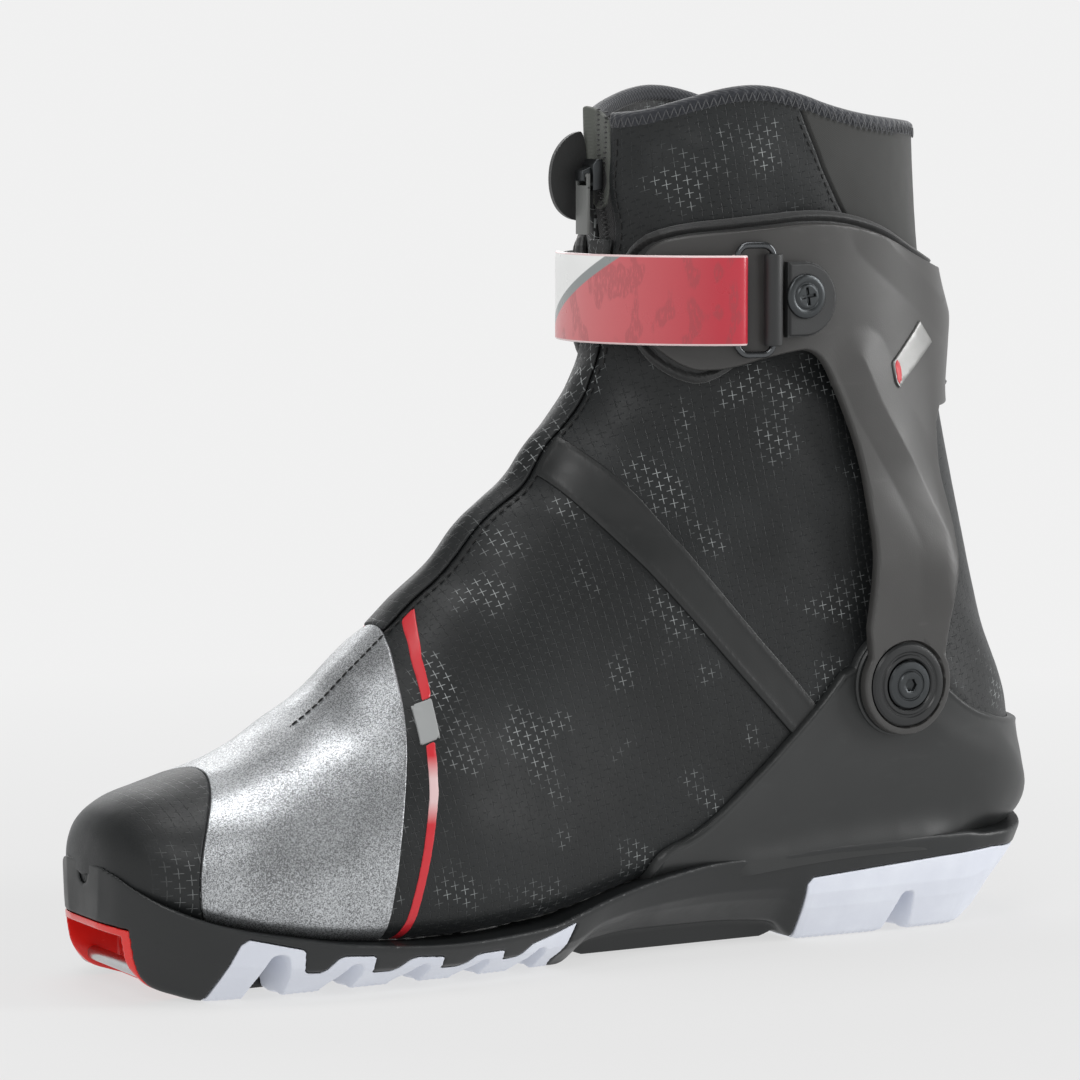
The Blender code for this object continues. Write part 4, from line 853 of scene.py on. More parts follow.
def make_heel():
    """Moulded heel counter and its pivot bosses."""
    front = [(4, 23), (7, 32), (21, 36), (40, 51), (53, 62.5), (62, 71), (69, 79)]
    top = circle_part(PIVOT_X, PIVOT_Z, 16.2, 160, 10, 16)
    rear = [(104.5, 74), (110, 69), (118, 64.3), (130, 60.6), (145, 59), (165, 59)]
    outline = [*polyline(front), *top, *polyline(rear), (165, 0), (4, 0)]
    body = least(side_outline(HARD, outline), HARD.field(rim_height(HARD) + 4.0))

    def swell(v):
        return .35 * smoothstep(5, 12, v["heel"]) - .25 * smoothstep(1.2, 2.2, v["heel"])

    counter = shell("heel_counter", HARD.patch(heel=body), "heel", (.25, 2.75), 1.3, "heel",
                    extra=swell, levels=(("heel", 1.8), ("heel", 2.4)), move=heel_move)
    boss = [turned_piece("boss", sign, [(0, 37.0), (15.4, 37.0), (15.4, 40.4), (14.9, 40.9),
                                        (5.6, 40.9), (5.6, 37.0)], "heel")
            for sign in (-1, 1)]
    place(join(counter, boss), "foot", ("heel_shell",))


# ---------------------------------------------------------------- cuff

CUFF_DEPTH = (3.9, 6.9)


def cuff_move(points, depth):
    """Swing the cuff's arms out to flat plates at the pivots."""
    x, y, z = points.T
    low = np.clip((140 - z) / 46, 0, 1)
    aside = np.clip((np.abs(y) - 12) / 14, 0, 1)
    share = low * low * (3 - 2 * low) * aside
    inner, outer = CUFF_DEPTH
    part = (depth - inner) / (outer - inner)
    x = x - 3.4 * smoothstep(100, 124, x) * (1 - smoothstep(153, 182, z))
    plate = np.sign(y) * (41.35 + part * 3.1)
    return np.stack([x, y + (plate - y) * share, z], axis=1)


def ridge(v, line, slope, reach):
    """Height of a straight-sided ridge along a side-view line."""
    return slope * (reach - np.minimum(line_distance(v["p"][:, 0], v["p"][:, 2], line), reach))


def make_cuff():
    """Moulded cuff with creased wings and arms, its padded lining and the plate on it."""
    wing = [(16, 185), (16.5, 198), (18, 202.5), (23, 205), (41, 207), (63, 209), (81, 205.5),
            (97, 197), (112, 193), (150, 192), (150, 154), (105, 153.5)]
    rear = [(102, 149), (102, 136), (105, 122), (105, 110), (102.5, 96)]
    foot = circle_part(PIVOT_X, PIVOT_Z, 14.8, 32, -214, 40)
    front = [(75, 92), (78, 112), (76, 126), (73.5, 141), (67, 158), (60, 172.5), (50, 171.5),
             (30, 166), (23, 168.5), (17.5, 174)]
    outline = [*polyline(wing), *polyline(rear), *foot, *polyline(front)]
    ahead = np.where(np.abs(AROUND)[None, :] > .05, FAR_INSIDE, FAR_OUTSIDE)
    x, _, z = axes_of(HARD)
    hole = HARD.field(np.hypot(x - PIVOT_X, z - PIVOT_Z) - 8.3)
    from_bolt = np.hypot(x - STRAP_X, z - STRAP_Z)
    body = side_outline(HARD, outline)
    # The seat's field is 300 less the distance from the pivot, to be above zero everywhere.
    seat = 300 - np.hypot(x - PIVOT_X, z - PIVOT_Z)
    patch = HARD.patch(cuff=least(body, ahead, hole, HARD.field(from_bolt - 3.2)), seat=seat)

    def facets(v):
        x, z = v["p"][:, 0], v["p"][:, 2]
        upper = ridge(v, ((80, 205), (102, 187.5), (118, 176), (121, 165)), .085, 9)
        arm = ridge(v, ((74, 169), (80, 156), (91.6, 137), (101, 117), (101, 98)), .1, 9)
        arm *= smoothstep(90, 100, z)
        top = smoothstep(-16, 0, above_line(x, z, ((60, 207), (81, 205), (97, 197), (112, 193),
                                                   (150, 192))))
        low = 1 - smoothstep(154, 180, z)
        back = -smoothstep(98, 122, x) * (1.6 * top + 1.9 * low)
        from_pivot = np.hypot(x - PIVOT_X, z - PIVOT_Z)
        plain = smoothstep(15.5, 18, from_pivot)
        front = -1.5 * (1 - smoothstep(26, 46, x)) * smoothstep(160, 170, z)
        sunk = -1.25 * (1 - smoothstep(12.2, 12.7, from_pivot))
        return (upper * smoothstep(60, 78, x) + arm + back + front) * plain + sunk

    levels = (("cuff", 1.6), ("seat", 287.3), ("seat", 287.8), ("seat", 284.5), ("seat", 282))
    cuff = shell("cuff", patch, "cuff", CUFF_DEPTH, .8, "cuff", 4.6, facets, levels, cuff_move, 50)
    place(cuff, "cuff", ("cuff_shell",))
    rim = [(12, 186), (12.8, 201), (19, 208), (41, 210.5), (64, 212.6), (84, 208.5),
           (99, 200.5), (113, 196), (150, 195), (150, 158), (104, 158), (96, 160),
           (72, 167), (60, 177.5), (46, 175.5), (31, 162), (21, 164.5), (13.8, 172)]
    field = least(side_outline(HARD, rim, 2), ahead, HARD.field(from_bolt - 6.2))

    def puff(v):
        swollen, seam = (np.exp(-((v["rim"] - at) / wide) ** 2) for at, wide in ((1.5, .8), (3, .5)))
        return .55 * swollen - .5 * seam

    pad = shell("cuff_lining", HARD.patch(rim=field), "rim", (.6, 3.3), 1.6, "padding",
                extra=puff, middle=1.6, levels=(("rim", 2.4), ("rim", 3.0), ("rim", 3.6)))
    place(pad, "cuff", ("cuff_padding",))
    corners = [(84, 167.5), (95, 179), (100, 172.5), (85.5, 159.5)]
    sliver = [(84.7, 167), (86.4, 168.8), (86.9, 162.0), (85.8, 160.9)]
    side = one_side(HARD, -1, 5)
    patch = HARD.patch(b=least(side_outline(HARD, corners), side))
    badge = shell("cuff_plate", patch, "b", (6.75, 7.6), .35, "badge", extra=facets)
    place(badge, "cuff", ("cuff_badge",))
    patch = HARD.patch(b=least(side_outline(HARD, sliver), side))
    accent = shell("cuff_plate_accent", patch, "b", (7.3, 7.75), .2, "stripe", extra=facets)
    place(accent, "cuff")


# ---------------------------------------------------------------- turned and swept pieces

def ring_shape(kind, angle):
    """Outline of a ring, as a share of its radius."""
    if kind == "hex":
        return math.cos(math.pi / 6) / math.cos(angle % (math.pi / 3) - math.pi / 6)
    if kind == "cross":
        near, far = sorted((abs(math.cos(angle)), abs(math.sin(angle))))
        return min(1 / far, .2 / max(near, 1e-6))
    return 1.0


def turned(name, centre, sign, profile, look, segments=72, turn=0.0):
    """Piece turned about an axis along Y. Its profile runs through (radius, y, outline)."""
    points, faces, rings = [], [], []
    for radius, y, *kind in profile:
        if radius < 1e-6:
            points.append((centre[0], sign * y, centre[1]))
            rings.append([len(points) - 1] * segments)
            continue
        start = len(points)
        for k in range(segments):
            a = 2 * math.pi * k / segments
            r = radius * ring_shape(kind[0] if kind else None, a)
            points.append((centre[0] + r * math.cos(a + turn), sign * y,
                           centre[1] + r * math.sin(a + turn)))
        rings.append(list(range(start, start + segments)))
    if profile[0][0] > 1e-6:
        rings.append(rings[0])
    for low, high in zip(rings, rings[1:]):
        for k in range(segments):
            n = (k + 1) % segments
            face = [low[k], low[n], high[n], high[k]]
            face = [v for i, v in enumerate(face) if v != face[i - 1]]
            if len(face) > 2:
                faces.append(face)
    return make_mesh(name, points, faces, look, 35)


def turned_piece(name, sign, profile, look):
    """Piece turned about the pivots' axis."""
    return turned(name, (PIVOT_X, PIVOT_Z), sign, profile, look)


def join(obj, others):
    """Add other meshes of the same look to one object."""
    shape = bmesh.new()
    shape.from_mesh(obj.data)
    for other in others:
        shape.from_mesh(other.data)
        bpy.data.objects.remove(other)
    shape.to_mesh(obj.data)
    shape.free()
    return obj


def loft(name, rings, look, closed=False, cloth=None, smooth=40):
    """Skin over rings of points, with flat ends unless the rings close."""
    rings = np.asarray(rings, float)
    n, m = rings.shape[:2]
    spans = n if closed else n - 1
    faces = [(i * m + j, i * m + (j + 1) % m, (i + 1) % n * m + (j + 1) % m, (i + 1) % n * m + j)
             for i in range(spans) for j in range(m)]
    if not closed:
        faces += [tuple(range(m)), tuple(range((n - 1) * m, n * m))]
    extra = None if cloth is None else {"cloth": np.asarray(cloth, float).reshape(-1, 3)}
    return make_mesh(name, rings.reshape(-1, 3), faces, look, smooth, extra)


def swept(name, path, radius, look, sides=14, closed=False):
    """Round wire along a path."""
    path = np.asarray(path, float)
    if closed:
        tangent = np.roll(path, -1, 0) - np.roll(path, 1, 0)
    else:
        tangent = np.gradient(path, axis=0)
    tangent /= np.linalg.norm(tangent, axis=1, keepdims=True)
    side = np.cross(tangent, (.12, 1, .07))
    side /= np.linalg.norm(side, axis=1, keepdims=True)
    up = np.cross(tangent, side)
    a = np.linspace(0, 2 * np.pi, sides, endpoint=False)[None, :, None]
    size = np.full(len(path), radius)
    if not closed:
        size[[0, -1]] *= .55
    rings = path[:, None] + size[:, None, None] * (np.cos(a) * side[:, None]
                                                   + np.sin(a) * up[:, None])
    return loft(name, rings, look, closed)


def beads(name, centres, along, outward, size, look):
    """Many small rounded stitches or teeth as one piece. size is (length, width, height) / 2."""
    centres, along, outward = (np.asarray(v, float) for v in (centres, along, outward))
    along = along / np.linalg.norm(along, axis=1, keepdims=True)
    across = np.cross(outward, along)
    across /= np.linalg.norm(across, axis=1, keepdims=True)
    outward = np.cross(along, across)
    rows, cols = 5, 8
    unit = [(math.cos(p), math.sin(p) * math.cos(q), math.sin(p) * math.sin(q))
            for p in np.linspace(0, np.pi, rows + 2)[1:-1]
            for q in np.linspace(0, 2 * np.pi, cols, endpoint=False)]
    unit = np.array([(1, 0, 0)] + unit + [(-1, 0, 0)]) * size
    faces = [(0, 1 + j, 1 + (j + 1) % cols) for j in range(cols)]
    faces += [(1 + i * cols + j, 1 + i * cols + (j + 1) % cols,
               1 + (i + 1) * cols + (j + 1) % cols, 1 + (i + 1) * cols + j)
              for i in range(rows - 1) for j in range(cols)]
    last = len(unit) - 1
    faces += [(last, last - cols + (j + 1) % cols, last - cols + j) for j in range(cols)]
    points = (centres[:, None] + unit[None, :, :1] * along[:, None]
              + unit[None, :, 1:2] * across[:, None] + unit[None, :, 2:] * outward[:, None])
    every = [tuple(v + k * len(unit) for v in face) for k in range(len(centres))
             for face in faces]
    return make_mesh(name, points.reshape(-1, 3), every, look, 60)


def block(name, outline, y0, y1, look, bevel=0.0):
    """Side-view outline drawn out along Y, with the edges of its two faces rounded."""
    shape = bmesh.new()
    corners = [shape.verts.new((x, y, z)) for y in (y0, y1) for x, z in outline]
    n = len(outline)
    shape.faces.new(corners[:n])
    shape.faces.new(corners[n:][::-1])
    for i in range(n):
        shape.faces.new((corners[i], corners[n + i], corners[n + (i + 1) % n],
                         corners[(i + 1) % n]))
    if bevel:
        edges = [e for e in shape.edges if abs(e.verts[0].co.y - e.verts[1].co.y) < 1e-6]
        bmesh.ops.bevel(shape, geom=edges, offset=bevel, segments=3, profile=.5,
                        affect="EDGES", clamp_overlap=True)
    points = [tuple(v.co) for v in shape.verts]
    shape.verts.index_update()
    faces = [tuple(v.index for v in f.verts) for f in shape.faces]
    shape.free()
    return make_mesh(name, points, faces, look, 35)


# ---------------------------------------------------------------- pivots and strap

def make_pivots():
    """Cover ring, bushing and screw of each pivot."""
    for side, sign in SIDES:
        cover = turned_piece("pivot_ring_" + side, sign, [
            (7.3, 43.2), (12.1, 43.2), (12.15, 44.3), (11.6, 44.95), (10.6, 45.2), (9.7, 45.15),
            (9.4, 44.85), (8.9, 44.85), (8.6, 45.2), (7.8, 45.2), (7.35, 44.8)], "black")
        place(cover, "cuff", ("pivot_cover_" + side,))
        bush = turned_piece("pivot_bush_" + side, sign, [
            (4.4, 41.3), (7.8, 41.3), (8.0, 41.5), (8.0, 42.7), (7.8, 42.9), (4.4, 42.9)],
            "black")
        place(bush, "foot", ("pivot_bushing_" + side,))
        screw = turned_piece("pivot_bolt_" + side, sign, [
            (0, 31.6), (3.9, 31.6), (4.0, 31.8), (4.0, 43.2), (6.8, 43.2), (7.0, 43.5),
            (7.0, 45.0), (6.6, 45.55), (5.2, 45.75), (4.7, 45.75), (4.5, 45.5), (4.2, 45.5),
            (4.0, 45.85), (3.7, 46.15), (2.6, 46.2), (2.05, 46.1), (1.95, 45.9, "hex"),
            (1.9, 44.6, "hex"), (1.2, 44.4), (0, 44.3)], "dark_metal")
        place(screw, "foot", ("pivot_screw_" + side,))


def strap_table():
    """Walked length and plan points of the strap's middle, half round the shaft."""
    turn = np.linspace(0, np.pi, 721)
    x = STRAP_CENTRE_X - STRAP_AX * np.sin(turn)
    y = -STRAP_BY * np.cos(turn)
    run = np.concatenate([[0], np.hypot(np.diff(x), np.diff(y)).cumsum()])
    return run, x, y


STRAP_RUN, STRAP_PX, STRAP_PY = strap_table()
STRAP_LENGTH = STRAP_RUN[-1]


def strap_at(run, out=0.0):
    """Plan point at a place along the strap, out from its middle; straight behind its ends."""
    run = np.asarray(run, float)
    extra = np.minimum(run, 0) - np.maximum(run - STRAP_LENGTH, 0)
    held = np.clip(run, 0, STRAP_LENGTH)
    x, y = np.interp(held, STRAP_RUN, STRAP_PX), np.interp(held, STRAP_RUN, STRAP_PY)
    a, b = np.clip(held - .4, 0, STRAP_LENGTH), np.clip(held + .4, 0, STRAP_LENGTH)
    dx = np.interp(b, STRAP_RUN, STRAP_PX) - np.interp(a, STRAP_RUN, STRAP_PX)
    dy = np.interp(b, STRAP_RUN, STRAP_PY) - np.interp(a, STRAP_RUN, STRAP_PY)
    size = np.hypot(dx, dy)
    return np.stack([x + np.abs(extra) - out * dy / size, y + out * dx / size], axis=-1)


def ribbon(name, path, runs, z0, z1, thick, look, soft=.85):
    """Flat band standing on edge along a plan path, with rounded edges and ends."""
    path = np.asarray(path, float)
    tangent = np.gradient(path, axis=0)
    tangent /= np.linalg.norm(tangent, axis=1, keepdims=True)
    out = np.stack([-tangent[:, 1], tangent[:, 0]], axis=1)
    h, r = thick / 2, thick / 2 * soft
    arc = np.linspace(0, np.pi / 2, 4)
    corner = [(h - r + r * math.cos(a), r - r * math.sin(a)) for a in arc[::-1]]
    half = [(u, z0 + w) for u, w in corner]
    half += [(h, z0 + (z1 - z0) * k / 6) for k in range(1, 6)]
    half += [(u, z1 - w) for u, w in corner[::-1]]
    section = half + [(-u, z) for u, z in reversed(half)]
    rings, cloth = [], []
    for i, (p, n) in enumerate(zip(path, out)):
        end = min(i, len(path) - 1 - i)
        shrink = (.45, .85, 1)[min(end, 2)]
        rings.append([(*(p + n * u * shrink), z) for u, z in section])
        cloth.append([(runs[i], z - z0, 0) for _, z in section])
    return loft(name, rings, look, cloth=cloth, smooth=50)


def make_strap():
    """Webbing, the red flap folded round its wire loop, and the loop."""
    runs = np.linspace(RING_FRONT + 5.5, STRAP_LENGTH - RING_REAR - 4.5, 120)
    base = ribbon("strap_webbing", strap_at(runs, 0), runs, STRAP_Z0 + .5, STRAP_Z1 - .5, 1.6,
                  "webbing")
    place(base, "strap", ("strap_base",))
    leg = strap_at(RING_FRONT, -.2)
    ahead = strap_at(RING_FRONT, .8) - leg
    base_angle = math.atan2(ahead[1], ahead[0])
    runs = list(np.linspace(STRAP_TIP, RING_FRONT, 150))
    path = [strap_at(r, 2.0) for r in runs]
    for a in np.radians(np.linspace(15, 210, 24)):
        path.append(leg + 2.2 * np.array([math.cos(base_angle + a), math.sin(base_angle + a)]))
        runs.append(RING_FRONT - 2.2 * float(a))
    flap = ribbon("strap_front", path, runs, STRAP_Z0, STRAP_Z1, 1.3, "strap")
    place(flap, "strap_flap", ("strap_flap",))
    rear = strap_at(RING_REAR, WIRE_OUT)
    width, corner = float(np.hypot(*(rear - leg))), 3.2
    loop = []
    for u, z, start in ((corner, RING_Z0 + corner, 180), (width - corner, RING_Z0 + corner, 270),
                        (width - corner, RING_Z1 - corner, 0), (corner, RING_Z1 - corner, 90)):
        loop += circle_part(u, z, corner, start, start + 90, 12)
    points = [(*(leg + (rear - leg) * u / width), z) for u, z in loop]
    ring = swept("strap_loop", points, RING_WIRE_R, "wire", closed=True)
    place(ring, "strap", ("strap_ring",))
    make_tabs(rear)


def make_tabs(rear):
    """Tabs that hold the strap, with the loop's tube or a clasp, their spacers and screws."""
    middle = (RING_Z0 + RING_Z1) / 2
    half = (STRAP_Z1 - STRAP_Z0) / 2 + .8
    z0, z1 = middle - half, middle + half
    arc = circle_part(STRAP_X, middle, half, 88, -88, 60)
    for side, sign in SIDES:
        runs = np.arange(-16.5, RING_REAR + 6, .35)
        zs = np.arange(z0 - 1, z1 + 1, .35)
        plan, ahead = strap_at(runs, 0), strap_at(runs, 1)
        out = ahead - plan
        points = np.array([[(x, -sign * y, z) for z in zs] for x, y in plan])
        sheet = Sheet(points, False, np.zeros_like(points))
        sheet.normals = np.array([[(x, -sign * y, 0) for _ in zs] for x, y in out])
        run_grid = np.broadcast_to(runs[:, None], points.shape[:2])
        shape = outline_field(points[..., 0], points[..., 2], [(20, z0), (20, z1)] + arc)
        front_end = RING_REAR - 1 if sign < 0 else RING_REAR + 4
        field = least(shape, front_end - run_grid,
                      np.hypot(points[..., 0] - STRAP_X, points[..., 2] - STRAP_Z) - 3.2)
        step = least(shape - 3.1, 2.2 - run_grid)
        patch = sheet.patch(tab=field, step=step)
        rise = lambda v: .8 * smoothstep(-.1, .6, v["step"]) - .8
        levels = (("step", -.1), ("step", .25), ("step", .6))
        tab = shell("strap_tab_plate_" + side, patch, "tab", (-1.2, 1.8), .5, "matt", -.6, rise,
                    levels)
        if sign < 0:
            tube = [(TUBE_R - .6, z0 + .5), (TUBE_R - .1, z0 + .7), (TUBE_R, z0 + 1.2),
                    (TUBE_R, z1 - 1.2), (TUBE_R - .1, z1 - .7), (TUBE_R - .6, z1 - .5)]
            rings = [[(rear[0] + r * math.cos(a), rear[1] + r * math.sin(a), z)
                      for a in np.linspace(0, 2 * np.pi, 40, endpoint=False)] for r, z in tube]
            join(tab, [loft("tube", rings, "matt")])
        else:
            runs = np.linspace(3.4, RING_REAR + 7.4, 24)
            clasp = ribbon("clasp", [(x, -y) for x, y in strap_at(runs, .2)], runs, z0 + .4,
                           z1 - .4, 4.6, "matt", .4)
            join(tab, [clasp])
        place(tab, "strap", ("strap_tab_" + side,))
        where = (STRAP_X, STRAP_Z)
        washer = turned("strap_spacer_" + side, where, sign, [
            (3.2, 39.5), (5.9, 39.5), (6, 39.6), (6, 39.9), (5.9, 40), (3.2, 40)], "black")
        place(washer, "strap", ("strap_washer_" + side,))
        screw = turned("strap_bolt_" + side, where, sign, [
            (0, 34.4), (2.6, 34.4), (2.8, 34.6), (2.8, 43.15), (6.3, 43.15), (6.4, 43.35),
            (6.3, 43.9), (5.9, 44.3), (5.0, 44.5), (4.2, 44.4), (3.9, 44.15), (3.6, 44.2),
            (3.3, 44.6), (2.95, 44.72), (2.75, 44.72), (2.55, 44.6, "cross"),
            (2.4, 43.75, "cross"), (.5, 43.5), (0, 43.5)], "dark_metal", turn=.16)
        place(screw, "strap", ("strap_screw_" + side,))


# ---------------------------------------------------------------- zip

def front_line(t_values, y=0.0, depth=0.0):
    """Points of the soft front at a distance off the middle, with normals and directions."""
    rows = np.clip(np.interp(t_values, TS, np.arange(len(TS))), 0, len(TS) - 1.001)
    i = rows.astype(int)
    f = (rows - i)[:, None]
    points, normals = [], []
    centre = len(AROUND) // 2
    span = slice(centre - 40, centre + 41)
    for row, share in zip(i, f):
        line, norm = (grid[row, span] * (1 - share) + grid[row + 1, span] * share
                      for grid in (SOFT.points, SOFT.normals))
        points.append([np.interp(y, line[:, 1], line[:, c]) for c in range(3)])
        normals.append([np.interp(y, line[:, 1], norm[:, c]) for c in range(3)])
    points, normals = np.array(points), np.array(normals)
    return points + normals * depth, normals, np.gradient(points, axis=0)


def spaced(points, pitch):
    """Row numbers at which a line has walked each pitch."""
    run = np.concatenate([[0], np.linalg.norm(np.diff(points, axis=0), axis=1).cumsum()])
    return np.interp(np.arange(0, run[-1], pitch), run, np.arange(len(points)))


def sampled(values, rows):
    """Values between rows, at fractional row numbers."""
    i = np.minimum(rows.astype(int), len(values) - 2)
    f = (rows - i)[:, None]
    return values[i] * (1 - f) + values[i + 1] * f


def averaged(values, reach):
    """Moving average of a line of values, over as many neighbours each way as its reach."""
    count = 2 * reach + 1
    return np.convolve(np.pad(values, reach, mode="edge"), np.ones(count) / count, "valid")


def stitch_line(name, points, normals, along, bodies, pitch=3.0, length=2.1, width=.32,
                bend=None, depth=.1):
    """A row of stitches that sits on a seam."""
    rows = spaced(points, pitch)
    p, n, d = (sampled(v, rows) for v in (points, normals, along))
    seam = beads(name, p + n * depth, d, n, (length / 2, width, width * .7), "thread_dark")
    place(seam, bodies, bend=bend)


def make_zip():
    """Zip tape, its teeth, the slider with its pull tab, and the guard beside them."""
    x, y, z = axes_of(SOFT)
    below_rim = SOFT.field(-(above_line(x, z, COLLAR_RIM) + 1.5))
    strip = least(SOFT.field(4.1 - np.abs(y)), x - ZIP_END_X, below_rim)
    patch = SOFT.patch(z=np.where(AHEAD, strip, FAR_OUTSIDE))
    tape = shell("zip_tape", patch, "z", (-2.3, -1.0), .3, "zip")
    place(tape, ("foot", "cuff"), ("zipper_lower", "zipper_ankle"), FOLD)
    t = np.linspace(15.4, 19.35, 160)
    line, normals, along = front_line(t, 0, -.75)
    rows = spaced(line, .72)
    p, n, d = (sampled(v, rows) for v in (line, normals, along))
    side = np.where(np.arange(len(p)) % 2, 1, -1)[:, None] * np.array([[0, 1, 0]])
    spread = .55 + 1.6 * smoothstep(221, 232, p[:, 2])[:, None]
    teeth = beads("zip_teeth", p + side * spread, side + d * .001, n, (1.0, .3, .55), "zip")
    place(teeth, "cuff", ("zipper_upper",))
    x, pin_x, pin_z, mid = 10.5, 4.9, 221.8, 222.0
    outline = [(x - 4.2, mid - 4.5), (x - 4.2, mid + 3), (x - 2.8, mid + 4.5),
               (x - .9, mid + 4.5), (x - .9, mid - 4.5)]
    body = block("zip_slider_body", outline, -3.5, 3.5, "dark_metal", .45)
    outline = [(pin_x - 1.5, mid - 1.6), (pin_x - 1.5, mid + 1.2), (x - 3.9, mid + 2.4),
               (x - 3.9, mid - 2.6)]
    bridge = block("bridge", outline, -2.2, 2.2, "dark_metal", .4)
    place(join(body, [bridge]), "zip_slider", ("zip_slider",))
    outline = [(pin_x - .6, mid - 17), (pin_x - .6, mid - 3), (pin_x + .6, mid - 3),
               (pin_x + .6, mid - 17)]
    pull = block("zip_pull_tab", outline, -3.4, 3.4, "grey", .4)
    outline = [(pin_x - .5, mid - 4), (pin_x - .5, pin_z + .6), (pin_x + .5, pin_z + .6),
               (pin_x + .5, mid - 4)]
    arms = [block("arm", outline, y - .4, y + .4, "grey", .15) for y in (-3.0, 3.0)]
    pin = turned("pin", (pin_x, pin_z), 1, [(0, -3.1), (.5, -3.1), (.55, -3), (.55, 3), (.5, 3.1),
                                            (0, 3.1)], "grey", 20)
    place(join(pull, arms + [pin]), "zip_puller", ("zip_puller",))
    moon = polyline([(8, 208.5), (3, 209.5), (-.8, 213), (-2.6, 219), (-2, 226), (.9, 231),
                     (5, 234), (9.3, 234.5), (9.3, 208)], True, round_off=3)
    guard = block("zip_guard_flap", moon, 5.7, 7.3, "padding", .6)
    place(guard, "cuff", ("zip_guard",))
    make_gusset()


def make_gusset():
    """Folded cloth behind the top of the zip."""
    ys, zs = np.linspace(-6, 9, 31), np.linspace(211, 246, 71)
    folds = [2.6 * math.exp(-((y - 7.0) / 1.9) ** 2) for y in ys]
    points = np.array([[(11.7 - fold * (.35 + .65 * (z - 211) / 35), y, z) for z in zs]
                       for y, fold in zip(ys, folds)])
    sheet = Sheet(points, False, np.zeros_like(points))
    sheet.normals *= -1
    outline = [(-4.4, 212), (-4.6, 237), (-2, 238.2), (3, 240.4), (6.5, 241.8), (7.8, 241),
               (7.8, 212)]
    inside = outline_field(points[..., 1], points[..., 2], outline, 2)
    cloth = shell("zip_gusset", sheet.patch(g=inside), "g", (-.6, .6), .5, "gusset")
    place(cloth, "cuff")


def on_side(line, sign):
    """Points and normals of the soft surface under a side-view line."""
    x, y, z = (c.ravel() for c in axes_of(SOFT))
    mine = np.where(y * sign > 6)[0]
    normals = SOFT.normals.reshape(-1, 3)
    points, outward = [], []
    for px, pz in line:
        near = mine[np.argmin((x[mine] - px) ** 2 + (z[mine] - pz) ** 2)]
        n = normals[near]
        py = y[near] - (n[0] * (px - x[near]) + n[2] * (pz - z[near])) / n[1]
        points.append((px, py, pz))
        outward.append(n)
    return np.array(points), np.array(outward)


def tape_edge(line):
    """Heights of points of a side-view line under the collar tape's lower edge."""
    return -above_line(line[:, 0], line[:, 1], COLLAR_RIM) - RIM_BAND - 1


def make_stitches():
    """Seam along the zip, the collar's zigzag, and the seams of the stretch panel."""
    line = front_line(np.linspace(6.95, 12, 220), -7.0, .25)
    stitch_line("zip_seam_low", *line, ("foot", "cuff"), bend=FOLD, depth=.12)
    line = front_line(np.linspace(12.05, 18.3, 300), -8.0, .1)
    stitch_line("zip_seam_high", *line, ("foot", "cuff"), bend=FOLD, depth=.05)
    points, normals, _ = front_line(np.linspace(5.75, 6.93, 90), -7.0, .8)
    hook = np.array([points[0] + (1.4 * k - 2.2, -.7 * (3 - k), -1.2 * (3 - k) - .3)
                     for k in range(3)])
    points = np.concatenate([hook, points])
    normals = np.concatenate([normals[:1]] * 3 + [normals])
    stitch_line("vamp_seam", points, normals, np.gradient(points, axis=0), "foot", 2.5, 2.1, .38,
                depth=.14)
    x, y, z = axes_of(SOFT)
    high = above_line(x, z, COLLAR_RIM)
    for side, sign in SIDES:
        points, normals = [], []
        for col in np.where(np.sign(AROUND) == sign)[0]:
            row = np.where((high[:-1, col] < -2.9) & (high[1:, col] >= -2.9))[0]
            if len(row) and abs(y[row[-1], col]) > (5.5 if x[row[-1], col] < 40 else .5):
                points.append(SOFT.points[row[-1], col])
                normals.append(SOFT.normals[row[-1], col])
        points, normals = np.array(points), np.array(normals)
        points[:, 2] = averaged(points[:, 2], 2)
        rows = spaced(points, 1.15)
        p, n, d = (sampled(v, rows) for v in (points, normals, np.gradient(points, axis=0)))
        d /= np.linalg.norm(d, axis=1, keepdims=True)
        lean = np.where(np.arange(len(p)) % 2, .42, -.42)[:, None]
        zigzag = beads("collar_zigzag_" + side, p + n * .68, d * lean + (0, 0, 1), n,
                       (1.55, .17, .2), "thread_grey")
        place(zigzag, "cuff")
        seam = polyline(SEAM, round_off=3)
        seam = seam[(tape_edge(seam) > 0) & (seam[:, 1] > 150)]
        points, normals = on_side([(px - 2.2, pz) for px, pz in seam], sign)
        stitch_line("stretch_seam_" + side, points, normals, np.gradient(points, axis=0), "cuff",
                    2.6, 1.7, .24, depth=.1)


# ---------------------------------------------------------------- sole

LUG_TOP = [(-130, -5), (-130, 0), (-123, 16.6), (-121, 18), (-106.6, 14.6), (-105.8, 13.9),
           (-105, 8.4), (-104, 7.5), (-100.4, 7.3), (-98.8, 8.3), (-96.2, 11.4), (-94.6, 12),
           (-86.2, 11.4), (-85.4, 10.8), (-85, 6.7), (-84.2, 6), (-79.6, 6), (-78, 6.8),
           (-74.6, 9.5), (-72.6, 10), (-65, 9.4), (-64.3, 9), (-64, 6), (-63.2, 5.5),
           (-58.6, 5.5), (-57, 6.2), (-54, 8.6), (-52, 9), (-45.4, 9.2), (-44.8, 8.8),
           (-44.5, 6.6), (-43.8, 6), (-39.6, 6.4), (-38, 7.6), (-35.5, 10), (-21, 14.5),
           (-24, 3), (-22, -5)]
LUG_GAPS = ((-120, -107, 13.4), (-97, -86, 9.4), (-76, -65, 7.6), (-56, -46, 7.0),
            (-37, -28, 8.4))
HEEL_TREAD = [(59.7, -6), (59.7, 17.6), (61.3, 19.4), (100, 22), (125, 23.3), (160, 21),
              (160, -6)]
